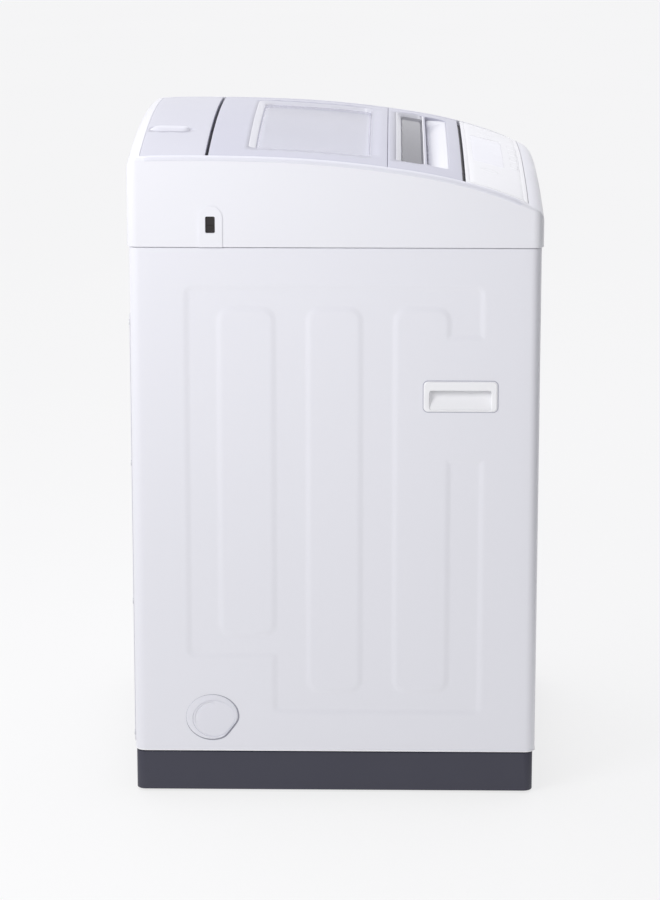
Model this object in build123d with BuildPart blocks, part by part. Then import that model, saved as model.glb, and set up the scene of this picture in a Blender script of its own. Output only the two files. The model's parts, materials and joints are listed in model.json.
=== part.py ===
"""Top load washing machine: cabinet, top cover with a two-leaf folding lid, hung tub, basket, wash plate and drive.

Frame: millimetres, +Z up, X across the width, the control panel faces -Y, the rear is +Y. The origin is at the
centre of the footprint, on the floor.
"""

import os
from math import atan, cos, pi, radians, sin, sqrt

from build123d import *

os.makedirs("parts", exist_ok=True)

# ---------------------------------------------------------------- driving dimensions
HALF_W = 262.5  # half of the top cover's width
HALF_D = 270.0  # half of the top cover's depth
FOOT_H = 3.0  # gap between the floor and the base frame's lower edge
BASE_TOP = 58.5
SEAM_Z = 745.0  # top edge of the cabinet's side sheets
SEAM_GAP = 1.0
CAB_X, CAB_Y = 261.0, 267.5  # half sizes of the cabinet, outside
SHEET = 1.2  # cabinet sheet
EMBOSS = 1.8  # depth of the pressed fields in the side sheets
CORNER_R = 14.0

# crowned surface that the deck, the lid and the control panel share: height at the middle and at the side edges
CROWN_MID = [(278, 873.4), (240, 876.3), (200, 875.6), (166, 874.0), (100, 871.5), (40, 867.7), (-20, 862.7),
             (-67, 857.0), (-118, 849.0), (-166, 838.7), (-205, 829.0), (-240, 818.8), (-278, 805.5)]
CROWN_EDGE = [(278, 860.0), (240, 861.6), (200, 862.2), (166, 862.2), (100, 861.2), (40, 858.5), (-20, 853.5),
              (-67, 847.8), (-118, 840.0), (-166, 829.6), (-205, 818.0), (-240, 804.5), (-278, 786.0)]

SKIN = 3.0  # plastic skins of the top
RIM = 7.9  # depth of the skins' rims
PANEL_X = 251.5  # half width of deck, lid leaves and control panel
WELL_X = 252.7  # half width of the recess that holds them
LID_REAR, LID_FOLD, LID_FRONT = 164.2, -67.0, -164.2
DECK_FRONT, DECK_REAR = 168.2, 252.0
FASCIA_REAR, FASCIA_FRONT = -168.2, -248.5

HINGE_Y, HINGE_Z = 140.0, 860.5  # lid hinge axis
HINGE_X = 150.0  # inner faces of the hinge lugs
FOLD_Z = 836.0  # fold hinge axis, under the seam between the leaves
PIN_R = 2.5
RUN = 0.06  # radial running clearance of the pins

TUB_R = 229.0  # outer tub, inside radius
TUB_WALL = 3.0
TUB_BOTTOM, TUB_TOP = 226.0, 716.0
BASKET_R = 211.0
BASKET_WALL = 1.5
BASKET_BOTTOM, BASKET_TOP = 252.0, 660.0
ROD_X, ROD_Y = 224.0, 228.0  # suspension rods
MOTOR_X, MOTOR_Y = 0.0, 150.0
PULLEY_Z = 112.0
INLET_R = 13.2  # three-quarter inch inlet thread, outside radius
KEY_TRAVEL = 1.2


def finish_piece(piece, name):
    """Labels the finished sub-part and writes its STEP file."""
    piece.part.label = name
    export_step(piece.part, f"parts/{name}.step")
    print(f"{name}: {len(piece.part.solids())} solids, {piece.part.volume / 1000:.1f} cm3")


# ---------------------------------------------------------------- shared construction solids
def section_points(x):
    k = 1 - (x / HALF_W) ** 2
    return [(m[0], e[1] + (m[1] - e[1]) * k) for m, e in zip(CROWN_MID, CROWN_EDGE)]


with BuildPart() as crown:
    for x in (-266.0, -133.0, 0.0, 133.0, 266.0):
        with BuildSketch(Plane.YZ.offset(x)):
            with BuildLine():
                pts = section_points(x)
                top = Spline(*pts)
                Polyline(pts[-1], (pts[-1][0], 700), (pts[0][0], 700), pts[0])
            make_face()
    loft()


def crown_down(depth):
    """The solid under the crowned surface, lowered by depth."""
    return crown.part.moved(Location((0, 0, -depth)))


def crown_z(x, y):
    """Height of the crowned surface, by straight interpolation of its sections."""
    pts = section_points(x)
    for a, b in zip(pts, pts[1:]):
        if b[0] <= y <= a[0]:
            return b[1] + (a[1] - b[1]) * (y - b[0]) / (a[0] - b[0])
    return pts[0][1]


FRONT_R, REAR_R = 22.0, 18.0  # rounding of the cover from its crowned top into the front and the rear


def end_round(x, end, radius, grow):
    """Wall point, middle and crown point of the arc that rounds one end of the section at x, and the crown's slope."""
    y0 = end - (radius if end > 0 else -radius)
    z0, step = crown_z(x, y0), 6.0
    slope = (crown_z(x, y0 + step) - crown_z(x, y0 - step)) / (2 * step)
    tilt = atan(slope)  # the crown falls towards both ends
    side = 1 if end > 0 else -1
    # circle that touches the wall plane and the crown's tangent
    span = radius
    cy = end - side * span
    cz = z0 - span / cos(tilt) + (cy - y0) * slope
    r = span + grow
    top = (cy - r * sin(tilt), cz + r * cos(tilt))
    a0, a1 = 0.0, pi / 2 + side * tilt
    mid_a = (a0 + a1) / 2
    mid = (cy + side * r * cos(mid_a), cz + r * sin(mid_a))
    return (end + side * grow, cz), mid, top, slope


with BuildPart() as ends:
    for x in (-266.0, -133.0, 0.0, 133.0, 266.0):
        with BuildSketch(Plane.YZ.offset(x)):
            fw, fm, ft, fs = end_round(x, -HALF_D, FRONT_R, 0.0)
            rw, rm, rt, rs = end_round(x, HALF_D, REAR_R, 0.0)
            apex_y = (rt[1] - ft[1] + fs * ft[0] - rs * rt[0]) / (fs - rs)
            apex = (apex_y, ft[1] + fs * (apex_y - ft[0]))
            with BuildLine():
                Line((-HALF_D, 700), fw)
                ThreePointArc(fw, fm, ft)
                Line(ft, apex)
                Line(apex, rt)
                ThreePointArc(rt, rm, rw)
                Line(rw, (HALF_D, 700))
                Line((HALF_D, 700), (-HALF_D, 700))
            make_face()
    loft()


# ---------------------------------------------------------------- base frame and feet
BASE_X, BASE_YF, BASE_YR = 258.5, -264.5, 266.5
BASE_W, BASE_D, BASE_CY = 2 * BASE_X, BASE_YR - BASE_YF, (BASE_YR + BASE_YF) / 2
FOOT_X, FOOT_Y = 222.0, 228.0

with BuildPart() as base_frame:
    with BuildSketch(Plane.XY.offset(FOOT_H)):
        with Locations((0, BASE_CY)):
            RectangleRounded(BASE_W, BASE_D, 12)
    extrude(amount=BASE_TOP - FOOT_H)
    with BuildSketch(Plane.XY.offset(FOOT_H)):
        with Locations((0, BASE_CY)):
            RectangleRounded(BASE_W - 7, BASE_D - 7, 9)
    extrude(amount=BASE_TOP - FOOT_H, mode=Mode.SUBTRACT)
    # inner deck that ties the skirt together, open in the middle under the drive
    with BuildSketch(Plane.XY.offset(BASE_TOP - 6)):
        with Locations((0, BASE_CY)):
            RectangleRounded(BASE_W - 2, BASE_D - 2, 9)
            RectangleRounded(BASE_W - 110, BASE_D - 110, 40, mode=Mode.SUBTRACT)
    extrude(amount=3)
    # foot bosses
    with BuildSketch(Plane.XY.offset(12)):
        with Locations((FOOT_X, FOOT_Y), (-FOOT_X, FOOT_Y), (FOOT_X, -FOOT_Y), (-FOOT_X, -FOOT_Y)):
            Circle(17)
    extrude(amount=BASE_TOP - 6 - 12 + 1)
    with Locations(*[(sx * FOOT_X, sy * FOOT_Y, 11) for sx in (1, -1) for sy in (1, -1)]):
        Cylinder(6.05, BASE_TOP - 4, align=(Align.CENTER, Align.CENTER, Align.MIN), mode=Mode.SUBTRACT)
    fillet(base_frame.edges().filter_by(Plane.XY).group_by(Axis.Z)[0].filter_by(lambda e: e.length > 60), 1.2)
finish_piece(base_frame, "base_frame")

with BuildPart() as foot_pads:
    with Locations(*[(sx * FOOT_X, sy * FOOT_Y, 0) for sx in (1, -1) for sy in (1, -1)]):
        Cylinder(18, 8, align=(Align.CENTER, Align.CENTER, Align.MIN))
    chamfer(foot_pads.edges().filter_by(GeomType.CIRCLE).group_by(Axis.Z)[0], 1.5)
    with Locations(*[(sx * FOOT_X, sy * FOOT_Y, 4) for sx in (1, -1) for sy in (1, -1)]):
        Cylinder(6.02, 10, align=(Align.CENTER, Align.CENTER, Align.MIN), mode=Mode.SUBTRACT)
finish_piece(foot_pads, "foot_pads")

with BuildPart() as foot_studs:
    with Locations(*[(sx * FOOT_X, sy * FOOT_Y, 4) for sx in (1, -1) for sy in (1, -1)]):
        Cylinder(6.0, 46, align=(Align.CENTER, Align.CENTER, Align.MIN))
    with BuildSketch(Plane.XY.offset(8.1)):
        with Locations((FOOT_X, FOOT_Y), (-FOOT_X, FOOT_Y), (FOOT_X, -FOOT_Y), (-FOOT_X, -FOOT_Y)):
            RegularPolygon(9.5, 6)
    extrude(amount=3.5)
finish_piece(foot_studs, "foot_studs")

# ---------------------------------------------------------------- cabinet
CAB_H = SEAM_Z - SEAM_GAP - BASE_TOP
HANDLE_Y, HANDLE_Z = -163.7, 547.3  # centre of the carry handle
HANDLE_W, HANDLE_H = 97.0, 41.0
CAP_Y, CAP_Z = 164.2, 106.2  # centre of the drain hole cap
CAP_W, CAP_H = 69.5, 62.0
# pressed field and the raised islands left standing in it, as (Y, Z) corners
FIELD = [(198.3, 695.2), (-196, 695.2), (-196, 109.8), (84.7, 109.8), (84.7, 187.3), (198.3, 187.3)]
RIBS = [(147.5, 84.7, 224.8, 659.1), (31.2, -28.9, 147.3, 659.1), (-82.4, -143.8, 147.3, 659.1)]
HANDLE_ZONE = (-90.0, -240.0, 464.0, 621.7)  # left flat around the carry handle, joined to the front island


def field_sketch(plane, grow):
    with BuildSketch(plane) as field:
        with BuildLine():
            Polyline(*FIELD, close=True)
        make_face()
        fillet(field.vertices(), 12)
        if grow:
            offset(amount=grow, kind=Kind.INTERSECTION)
        for y0, y1, z0, z1 in RIBS + [HANDLE_ZONE]:
            with Locations(((y0 + y1) / 2, (z0 + z1) / 2)):
                RectangleRounded(abs(y0 - y1) - 2 * grow, z1 - z0 - 2 * grow, 12 - grow, mode=Mode.SUBTRACT)
    return field.sketch


with BuildPart() as cabinet:
    with BuildSketch(Plane.XY.offset(BASE_TOP)):
        RectangleRounded(2 * CAB_X, 2 * CAB_Y, CORNER_R)
    extrude(amount=CAB_H)
    with BuildSketch(Plane.XY.offset(BASE_TOP)):
        RectangleRounded(2 * (CAB_X - SHEET), 2 * (CAB_Y - SHEET), CORNER_R - SHEET)
    extrude(amount=CAB_H, mode=Mode.SUBTRACT)
    # pressed fields: the sheet is pushed inwards by the emboss depth on both sides
    for side in (-1, 1):
        inner = field_sketch(Plane.YZ.offset(side * (CAB_X - SHEET / 2)), SHEET)
        extrude(inner, amount=-side * (EMBOSS + SHEET / 2))
    for side in (-1, 1):
        outer = field_sketch(Plane.YZ.offset(side * (CAB_X + 1)), 0)
        extrude(outer, amount=-side * (EMBOSS + 1), mode=Mode.SUBTRACT)
    # turned-in flange along the top and bottom edges
    for z in (BASE_TOP, BASE_TOP + CAB_H - SHEET):
        with BuildSketch(Plane.XY.offset(z)):
            RectangleRounded(2 * (CAB_X - 0.5), 2 * (CAB_Y - 0.5), CORNER_R - 0.5)
            RectangleRounded(2 * (CAB_X - 14), 2 * (CAB_Y - 14), 8, mode=Mode.SUBTRACT)
        extrude(amount=SHEET)
    # service opening in the rear
    with BuildSketch(Plane.XZ.offset(-CAB_Y - 1)):
        with Locations((0, 355)):
            RectangleRounded(450, 540, 10)
    extrude(amount=16, mode=Mode.SUBTRACT)
    # openings for the carry handles, and for the drain hose on the left
    with BuildSketch(Plane.YZ.offset(-CAB_X - 1)):
        with Locations((HANDLE_Y, HANDLE_Z)):
            RectangleRounded(HANDLE_W - 10, HANDLE_H - 8, 5)
    extrude(amount=2 * CAB_X + 2, mode=Mode.SUBTRACT)
    with BuildSketch(Plane.YZ.offset(-CAB_X - 1)):
        with Locations((CAP_Y, CAP_Z)):
            Ellipse(CAP_W / 2 - 10, CAP_H / 2 - 10)
    extrude(amount=6, mode=Mode.SUBTRACT)
finish_piece(cabinet, "cabinet")

# rear service panel, standing just proud of the cabinet's rear flanges
REAR_Z0, REAR_Z1 = 64.0, 652.0
with BuildPart() as rear_panel:
    with BuildSketch(Plane.XZ.offset(-CAB_Y)):
        with Locations((0, (REAR_Z0 + REAR_Z1) / 2)):
            RectangleRounded(488, REAR_Z1 - REAR_Z0, 8)
    extrude(amount=-1.4)
    # stiffening swages
    with BuildSketch(Plane.XZ.offset(-CAB_Y - 1.4)):
        with Locations((-120, 400), (0, 400), (120, 400)):
            SlotOverall(380, 46, rotation=90)
    extrude(amount=-1.0, taper=30)
    with BuildSketch(Plane.XZ.offset(-CAB_Y + 0.2)):
        with Locations((-120, 400), (0, 400), (120, 400)):
            SlotOverall(376, 40, rotation=90)
    extrude(amount=-1.2, mode=Mode.SUBTRACT)
    # holes for the drain outlet and the cord gland
    with BuildSketch(Plane.XZ.offset(-CAB_Y + 2)):
        with Locations((170, 110)):
            Circle(17.1)
        with Locations((-190, 600)):
            Circle(9.05)
        with Locations(*[(sx * 236, z) for sx in (1, -1) for z in (76, 260, 450, 640)]):
            Circle(2.1)
    extrude(amount=-8, mode=Mode.SUBTRACT)
finish_piece(rear_panel, "rear_panel")

with BuildPart() as rear_screws:
    for sx in (1, -1):
        for z in (76, 260, 450, 640):
            with BuildSketch(Plane.XZ.offset(-CAB_Y - 1.4)):
                with Locations((sx * 236, z)):
                    Circle(4.0)
            extrude(amount=-1.1)
            with BuildSketch(Plane.XZ.offset(-CAB_Y - 1.4)):
                with Locations((sx * 236, z)):
                    Circle(2.0)
            extrude(amount=1.4)
finish_piece(rear_screws, "rear_screws")

# ---------------------------------------------------------------- carry handles
HOLE_W, HOLE_H = 83.2, 28.2
HOLE_Z = 542.2
HANDLE_DEEP = 30.0
for side, name in ((-1, "carry_handle_left"), (1, "carry_handle_right")):
    with BuildPart() as carry_handle:
        # bezel on the outside
        with BuildSketch(Plane.YZ.offset(side * CAB_X)):
            with Locations((HANDLE_Y, HANDLE_Z)):
                RectangleRounded(HANDLE_W, HANDLE_H, 6)
        extrude(amount=side * 1.5)
        fillet(carry_handle.faces().sort_by(Axis.X)[0 if side < 0 else -1].edges(), 1.2)
        # pocket body behind the sheet
        with BuildSketch(Plane.YZ.offset(side * CAB_X)):
            with Locations((HANDLE_Y, HANDLE_Z)):
                RectangleRounded(HANDLE_W - 10.6, HANDLE_H - 8.6, 5)
        extrude(amount=-side * HANDLE_DEEP)
        # hand space: deep behind the upper edge, with a ramp rising outwards to the lower edge
        with BuildSketch(Plane.XZ.offset(-(HANDLE_Y + HOLE_W / 2 - 1))):
            with BuildLine():
                xo = side * (CAB_X + 2)
                xi = side * (CAB_X - HANDLE_DEEP + 2.2)
                Polyline((xo, HOLE_Z - HOLE_H / 2 + 2), (side * (CAB_X - 2), HOLE_Z - HOLE_H / 2 + 2),
                         (xi, HOLE_Z + 1), (xi, HANDLE_Z + HANDLE_H / 2 - 6.5),
                         (side * (CAB_X - 3), HANDLE_Z + HANDLE_H / 2 - 6.5),
                         (side * (CAB_X - 3), HOLE_Z + HOLE_H / 2), (xo, HOLE_Z + HOLE_H / 2), close=True)
            make_face()
        extrude(amount=HOLE_W - 2, mode=Mode.SUBTRACT)
    finish_piece(carry_handle, name)

# ---------------------------------------------------------------- drain hole cap, on the left
with BuildPart() as drain_cap:
    with BuildSketch(Plane.YZ.offset(-CAB_X)):
        with Locations((CAP_Y, CAP_Z)):
            Ellipse(CAP_W / 2, CAP_H / 2)
        with Locations((CAP_Y - 35.5, CAP_Z - 27.0)):
            Rectangle(26, 60, rotation=37, mode=Mode.SUBTRACT)
    extrude(amount=-1.6)
    with BuildSketch(Plane.YZ.offset(-CAB_X - 1.6)):
        with Locations((CAP_Y, CAP_Z)):
            Ellipse(CAP_W / 2 - 7, CAP_H / 2 - 7)
    extrude(amount=0.7, mode=Mode.SUBTRACT)
    with BuildSketch(Plane.YZ.offset(-CAB_X)):
        with Locations((CAP_Y, CAP_Z)):
            Ellipse(CAP_W / 2 - 10.2, CAP_H / 2 - 10.2)
            Ellipse(CAP_W / 2 - 12.2, CAP_H / 2 - 12.2, mode=Mode.SUBTRACT)
    extrude(amount=5)
finish_piece(drain_cap, "drain_cap")

# ---------------------------------------------------------------- top cover frame
COVER_H = 200
FRAME_Z = SEAM_Z
OPEN_X, OPEN_YF, OPEN_YR = 196.0, -152.0, 108.0  # loading opening
with BuildPart() as top_frame:
    with BuildSketch(Plane.XY.offset(FRAME_Z)):
        RectangleRounded(2 * HALF_W, 2 * HALF_D, CORNER_R)
    extrude(amount=COVER_H)
    add(crown.part, mode=Mode.INTERSECT)
    fillet(top_frame.edges().filter_by(lambda e: e.center().Z > 770 and abs(e.center().X) > 250
                                       and e.length > 300), 4)
    add(ends.part, mode=Mode.INTERSECT)
top_frame_outer = top_frame.part


def zone(y0, y1, half_x, depth, radius=3.0):
    """Upright block between y0 and y1, from above down to the crowned surface lowered by depth."""
    with BuildPart() as block:
        with BuildSketch(Plane.XY.offset(FRAME_Z - 5)):
            with Locations((0, (y0 + y1) / 2)):
                RectangleRounded(2 * half_x, abs(y1 - y0), radius)
        extrude(amount=COVER_H)
        add(crown_down(depth), mode=Mode.SUBTRACT)
    return block.part


def cavity(y0, y1, half_x, depth, radius=3.0):
    """Upright block between y0 and y1, from below up to the crowned surface lowered by depth."""
    with BuildPart() as block:
        with BuildSketch(Plane.XY.offset(FRAME_Z - 5)):
            with Locations((0, (y0 + y1) / 2)):
                RectangleRounded(2 * half_x, abs(y1 - y0), radius)
        extrude(amount=COVER_H)
        add(crown_down(depth), mode=Mode.INTERSECT)
    return block.part


cut_fascia = zone(FASCIA_FRONT - 1, -160.0, WELL_X, 8.0)
cut_lid = zone(-166.0, 120.0, WELL_X - 6, 22.0)
cut_lid_seat = zone(-166.0, 172.0, WELL_X, 8.0)
cut_deck = zone(160.0, DECK_REAR + 1, WELL_X, 8.0)
cav_fascia = cavity(-262.0, -169.0, HALF_W - 3, 12.0, 10)
cav_lid = cavity(-169.2, 115.0, HALF_W - 3, 25.0, 0.1)
cav_deck = cavity(171.2, HALF_D - 3, HALF_W - 3, 12.0, 10)

# loading opening with a collar down to the tub
with BuildPart() as collar:
    with BuildSketch(Plane.XY.offset(752)):
        with Locations((0, (OPEN_YF + OPEN_YR) / 2)):
            RectangleRounded(2 * OPEN_X, OPEN_YR - OPEN_YF, 96)
            RectangleRounded(2 * OPEN_X - 6, OPEN_YR - OPEN_YF - 6, 93, mode=Mode.SUBTRACT)
    extrude(amount=150)
    add(crown_down(22.5), mode=Mode.INTERSECT)

with BuildPart() as top_frame:
    add(top_frame_outer)
    add(cut_fascia, mode=Mode.SUBTRACT)
    add(cut_lid_seat, mode=Mode.SUBTRACT)
    add(cut_lid, mode=Mode.SUBTRACT)
    add(cut_deck, mode=Mode.SUBTRACT)
    # hinge trough behind the opening
    with BuildSketch(Plane.XY.offset(827)):
        with Locations((0, (118.0 + 168.2) / 2)):
            Rectangle(2 * WELL_X, 168.2 - 118.0)
    extrude(amount=60, mode=Mode.SUBTRACT)
    add(cav_fascia, mode=Mode.SUBTRACT)
    with BuildSketch(Plane.XY.offset(FRAME_Z - 5)):
        with Locations((0, -HALF_D + 3 + 30)):
            RectangleRounded(2 * (HALF_W - 3), 60, 10)
    extrude(amount=27, mode=Mode.SUBTRACT)
    add(cav_lid, mode=Mode.SUBTRACT)
    add(cav_deck, mode=Mode.SUBTRACT)
    with BuildSketch(Plane.XY.offset(FRAME_Z - 5)):
        with Locations((0, (114.8 + 171.4) / 2)):
            Rectangle(2 * (HALF_W - 3), 171.4 - 114.8)
    extrude(amount=824 - FRAME_Z + 5, mode=Mode.SUBTRACT)
    with BuildSketch(Plane.XY.offset(760)):
        with Locations((0, (OPEN_YF + OPEN_YR) / 2)):
            RectangleRounded(2 * OPEN_X - 6, OPEN_YR - OPEN_YF - 6, 93)
    extrude(amount=120, mode=Mode.SUBTRACT)
    add(collar.part)
    # hinge towers that hold the lid's pins
    for x in (-HINGE_X - 16.6, HINGE_X + 8.6):
        with BuildSketch(Plane.YZ.offset(x)):
            with Locations((HINGE_Y - 0.9, (826 + HINGE_Z) / 2)):
                Rectangle(7.4, HINGE_Z - 826)
            with Locations((HINGE_Y, HINGE_Z)):
                Circle(4.6)
        extrude(amount=8)
    with Locations((0, HINGE_Y, HINGE_Z)):
        Cylinder(PIN_R, 420, rotation=(0, 90, 0), mode=Mode.SUBTRACT)
    # half-round boss with the clip window, on both sides
    for side in (-1, 1):
        with BuildSketch(Plane.YZ.offset(side * (HALF_W - 1.0))):
            with Locations((161.2, FRAME_Z + 20)):
                Rectangle(30.2, 40)
            with Locations((161.2, FRAME_Z + 38.6)):
                Circle(15.1)
        extrude(amount=side * 2.2)
        with BuildSketch(Plane.YZ.offset(side * (HALF_W + 2))):
            with Locations((161.65, 774.4)):
                RectangleRounded(12.5, 21.8, 2)
        extrude(amount=-side * 8, mode=Mode.SUBTRACT)
    # rear pocket for the water inlet
    with BuildSketch(Plane.XZ.offset(-HALF_D + 1)):
        with Locations((155, 800)):
            RectangleRounded(82, 62, 11)
    extrude(amount=39)
    with BuildSketch(Plane.XZ.offset(-HALF_D - 1)):
        with Locations((155, 800)):
            RectangleRounded(76, 56, 8)
    extrude(amount=38, mode=Mode.SUBTRACT)
    with BuildSketch(Plane.XZ.offset(-HALF_D - 1)):
        with Locations((155, 800)):
            Circle(INLET_R + 1.9)
    extrude(amount=60, mode=Mode.SUBTRACT)
    # screw bosses of the deck
    with Locations((-225, 243, 852), (225, 243, 852)):
        Cylinder(1.8, 30, mode=Mode.SUBTRACT)
finish_piece(top_frame, "top_frame")

# ---------------------------------------------------------------- skins of the top
def skin_outline(y0, y1, half_x, radius):
    with BuildSketch(Plane.XY.offset(FRAME_Z)) as outline:
        with Locations((0, (y0 + y1) / 2)):
            RectangleRounded(2 * half_x, abs(y1 - y0), radius)
    return outline.sketch


def skin_core(y0, y1, half_x, radius, wall, skin):
    """Hollow under a skin, inside its rim."""
    with BuildPart() as core:
        extrude(skin_outline(y0 + wall, y1 - wall, half_x - wall, radius), amount=COVER_H)
        add(crown_down(skin), mode=Mode.INTERSECT)
    return core.part


# rear deck with its inlet blister
BLISTER = (-107.0, 221.5)
with BuildPart() as rear_deck:
    extrude(skin_outline(DECK_FRONT, DECK_REAR, PANEL_X, 4), amount=COVER_H)
    add(crown.part, mode=Mode.INTERSECT)
    add(crown_down(RIM), mode=Mode.SUBTRACT)
    add(skin_core(DECK_FRONT, DECK_REAR, PANEL_X, 3, 3, SKIN), mode=Mode.SUBTRACT)
    with BuildSketch(Plane.XY.offset(868)):
        with Locations(BLISTER):
            SlotOverall(56, 26, rotation=90)
    extrude(amount=10.0, taper=12)
finish_piece(rear_deck, "rear_deck")

# two screws that hold the deck, in the rounded rear strip
with BuildPart() as deck_screws:
    for sx in (1, -1):
        with Locations((sx * 225, 243, 850.5)):
            Cylinder(1.75, crown_z(sx * 225, 243) - 850.5 - 3.2, align=(Align.CENTER, Align.CENTER, Align.MIN))
finish_piece(deck_screws, "deck_screws")

# control panel
LENS = (0.0, -201.0, 210.0, 42.0)  # centre x, centre y, width, depth
KEYS = {
    "key_power": (-150.0, -201.0, "round"),
    "key_start": (150.0, -201.0, "round"),
    "key_program": (-75.0, -236.0, "slot"),
    "key_water_level": (-25.0, -236.0, "slot"),
    "key_process": (25.0, -236.0, "slot"),
    "key_delay": (75.0, -236.0, "slot"),
}


def key_sketch(kind, x, y, grow, z=FRAME_Z):
    with BuildSketch(Plane.XY.offset(z)) as outline:
        with Locations((x, y)):
            if kind == "round":
                Circle(11 + grow)
            else:
                SlotOverall(30 + 2 * grow, 10 + 2 * grow)
    return outline.sketch


with BuildPart() as control_fascia:
    extrude(skin_outline(FASCIA_FRONT, FASCIA_REAR, PANEL_X, 3), amount=COVER_H)
    add(crown.part, mode=Mode.INTERSECT)
    add(crown_down(RIM), mode=Mode.SUBTRACT)
    add(skin_core(FASCIA_FRONT, FASCIA_REAR, PANEL_X, 2, 3, SKIN), mode=Mode.SUBTRACT)
    for name, (x, y, kind) in KEYS.items():
        extrude(key_sketch(kind, x, y, 0.5), amount=COVER_H, mode=Mode.SUBTRACT)
    with BuildSketch(Plane.XY.offset(FRAME_Z)):
        with Locations(LENS[:2]):
            RectangleRounded(LENS[2] - 6, LENS[3] - 6, 3)
    extrude(amount=COVER_H, mode=Mode.SUBTRACT)
    with BuildPart(mode=Mode.PRIVATE) as lens_seat:
        with BuildSketch(Plane.XY.offset(FRAME_Z)):
            with Locations(LENS[:2]):
                RectangleRounded(LENS[2], LENS[3], 5)
        extrude(amount=COVER_H)
        add(crown_down(1.2), mode=Mode.SUBTRACT)
    add(lens_seat.part, mode=Mode.SUBTRACT)
finish_piece(control_fascia, "control_fascia")

with BuildPart() as display_lens:
    with BuildSketch(Plane.XY.offset(FRAME_Z)):
        with Locations(LENS[:2]):
            RectangleRounded(LENS[2] - 0.3, LENS[3] - 0.3, 4.85)
    extrude(amount=COVER_H)
    add(crown_down(0.05), mode=Mode.INTERSECT)
    add(crown_down(1.2), mode=Mode.SUBTRACT)
finish_piece(display_lens, "display_lens")

for name, (x, y, kind) in KEYS.items():
    with BuildPart() as key:
        extrude(key_sketch(kind, x, y, 0), amount=COVER_H)
        add(crown_down(-0.5), mode=Mode.INTERSECT)
        add(crown_down(5.0), mode=Mode.SUBTRACT)
    finish_piece(key, name)

# control board under the panel
BOARD_Z = 768.0
with BuildPart() as control_board:
    with BuildSketch(Plane.XY.offset(BOARD_Z)):
        with Locations((0, -218)):
            Rectangle(240, 62)
    extrude(amount=1.6)
    with BuildSketch(Plane.XY.offset(BOARD_Z + 1.6)):
        with Locations((-80, -215)):
            Rectangle(26, 20)
        with Locations((0, -205)):
            Rectangle(60, 22)
        with Locations((70, -222)):
            Circle(8)
        with Locations((95, -222)):
            Circle(6)
    extrude(amount=9)
finish_piece(control_board, "control_board")

with BuildPart() as board_tray:
    with BuildSketch(Plane.XY.offset(BOARD_Z - 8)):
        with Locations((0, -218)):
            RectangleRounded(252, 74, 4)
    extrude(amount=12)
    with BuildSketch(Plane.XY.offset(BOARD_Z - 6)):
        with Locations((0, -218)):
            RectangleRounded(248, 70, 3)
    extrude(amount=20, mode=Mode.SUBTRACT)
    with BuildSketch(Plane.XY.offset(BOARD_Z - 6.5)):
        with Locations((-110, -192), (110, -192), (-110, -244), (110, -244)):
            Circle(4)
    extrude(amount=6.5)
finish_piece(board_tray, "board_tray")

# ---------------------------------------------------------------- folding lid
WIN_X, WIN_Y0, WIN_Y1 = 203.0, -43.0, 104.0
with BuildPart() as lid_rear_panel:
    extrude(skin_outline(LID_FOLD + 0.5, LID_REAR, PANEL_X, 2.5), amount=COVER_H)
    add(crown.part, mode=Mode.INTERSECT)
    add(crown_down(7.2), mode=Mode.SUBTRACT)
    add(skin_core(LID_FOLD + 0.5, LID_REAR, PANEL_X, 2, 3, SKIN), mode=Mode.SUBTRACT)
    # sunk frame of the window
    with BuildPart(mode=Mode.PRIVATE) as window_frame:
        with BuildSketch(Plane.XY.offset(FRAME_Z)):
            with Locations((0, (WIN_Y0 + WIN_Y1) / 2)):
                RectangleRounded(2 * WIN_X + 14, WIN_Y1 - WIN_Y0 + 14, 14)
        extrude(amount=COVER_H)
        add(crown_down(1.0), mode=Mode.INTERSECT)
        add(crown_down(10.5), mode=Mode.SUBTRACT)
    add(window_frame.part)
    with BuildPart(mode=Mode.PRIVATE) as window_sink:
        with BuildSketch(Plane.XY.offset(FRAME_Z)):
            with Locations((0, (WIN_Y0 + WIN_Y1) / 2 + 1.5)):
                RectangleRounded(2 * WIN_X + 8, WIN_Y1 - WIN_Y0 + 11, 12)
        extrude(amount=COVER_H)
        add(crown_down(8.0), mode=Mode.SUBTRACT)
    add(window_sink.part, mode=Mode.SUBTRACT)
    with BuildSketch(Plane.XY.offset(FRAME_Z)):
        with Locations((0, (WIN_Y0 + WIN_Y1) / 2)):
            RectangleRounded(2 * WIN_X - 8, WIN_Y1 - WIN_Y0 - 8, 8)
    extrude(amount=COVER_H, mode=Mode.SUBTRACT)
    # hinge lugs at the rear
    for x in (-HINGE_X - 8, HINGE_X):
        with BuildSketch(Plane.YZ.offset(x)):
            with Locations((HINGE_Y, HINGE_Z)):
                Circle(4.6)
            with Locations((HINGE_Y, HINGE_Z + 4)):
                Rectangle(9.2, 7)
        extrude(amount=8)
    # fold lugs in front, outboard of the front leaf's lugs
    for x in (-236, 228):
        with BuildSketch(Plane.YZ.offset(x)):
            with BuildLine():
                Polyline((LID_FOLD + 0.9, 846), (LID_FOLD + 0.9, FOLD_Z + 3), (LID_FOLD - 2.5, FOLD_Z - 3),
                         (LID_FOLD + 3.5, FOLD_Z - 4), (LID_FOLD + 14, 846), close=True)
            make_face()
            with Locations((LID_FOLD, FOLD_Z)):
                Circle(4.6)
        extrude(amount=8)
    with Locations((-HINGE_X - 4, HINGE_Y, HINGE_Z), (HINGE_X + 4, HINGE_Y, HINGE_Z)):
        Cylinder(PIN_R + RUN, 12, rotation=(0, 90, 0), mode=Mode.SUBTRACT)
    with Locations((-232, LID_FOLD, FOLD_Z), (232, LID_FOLD, FOLD_Z)):
        Cylinder(PIN_R, 12, rotation=(0, 90, 0), mode=Mode.SUBTRACT)
finish_piece(lid_rear_panel, "lid_rear_panel")

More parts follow.
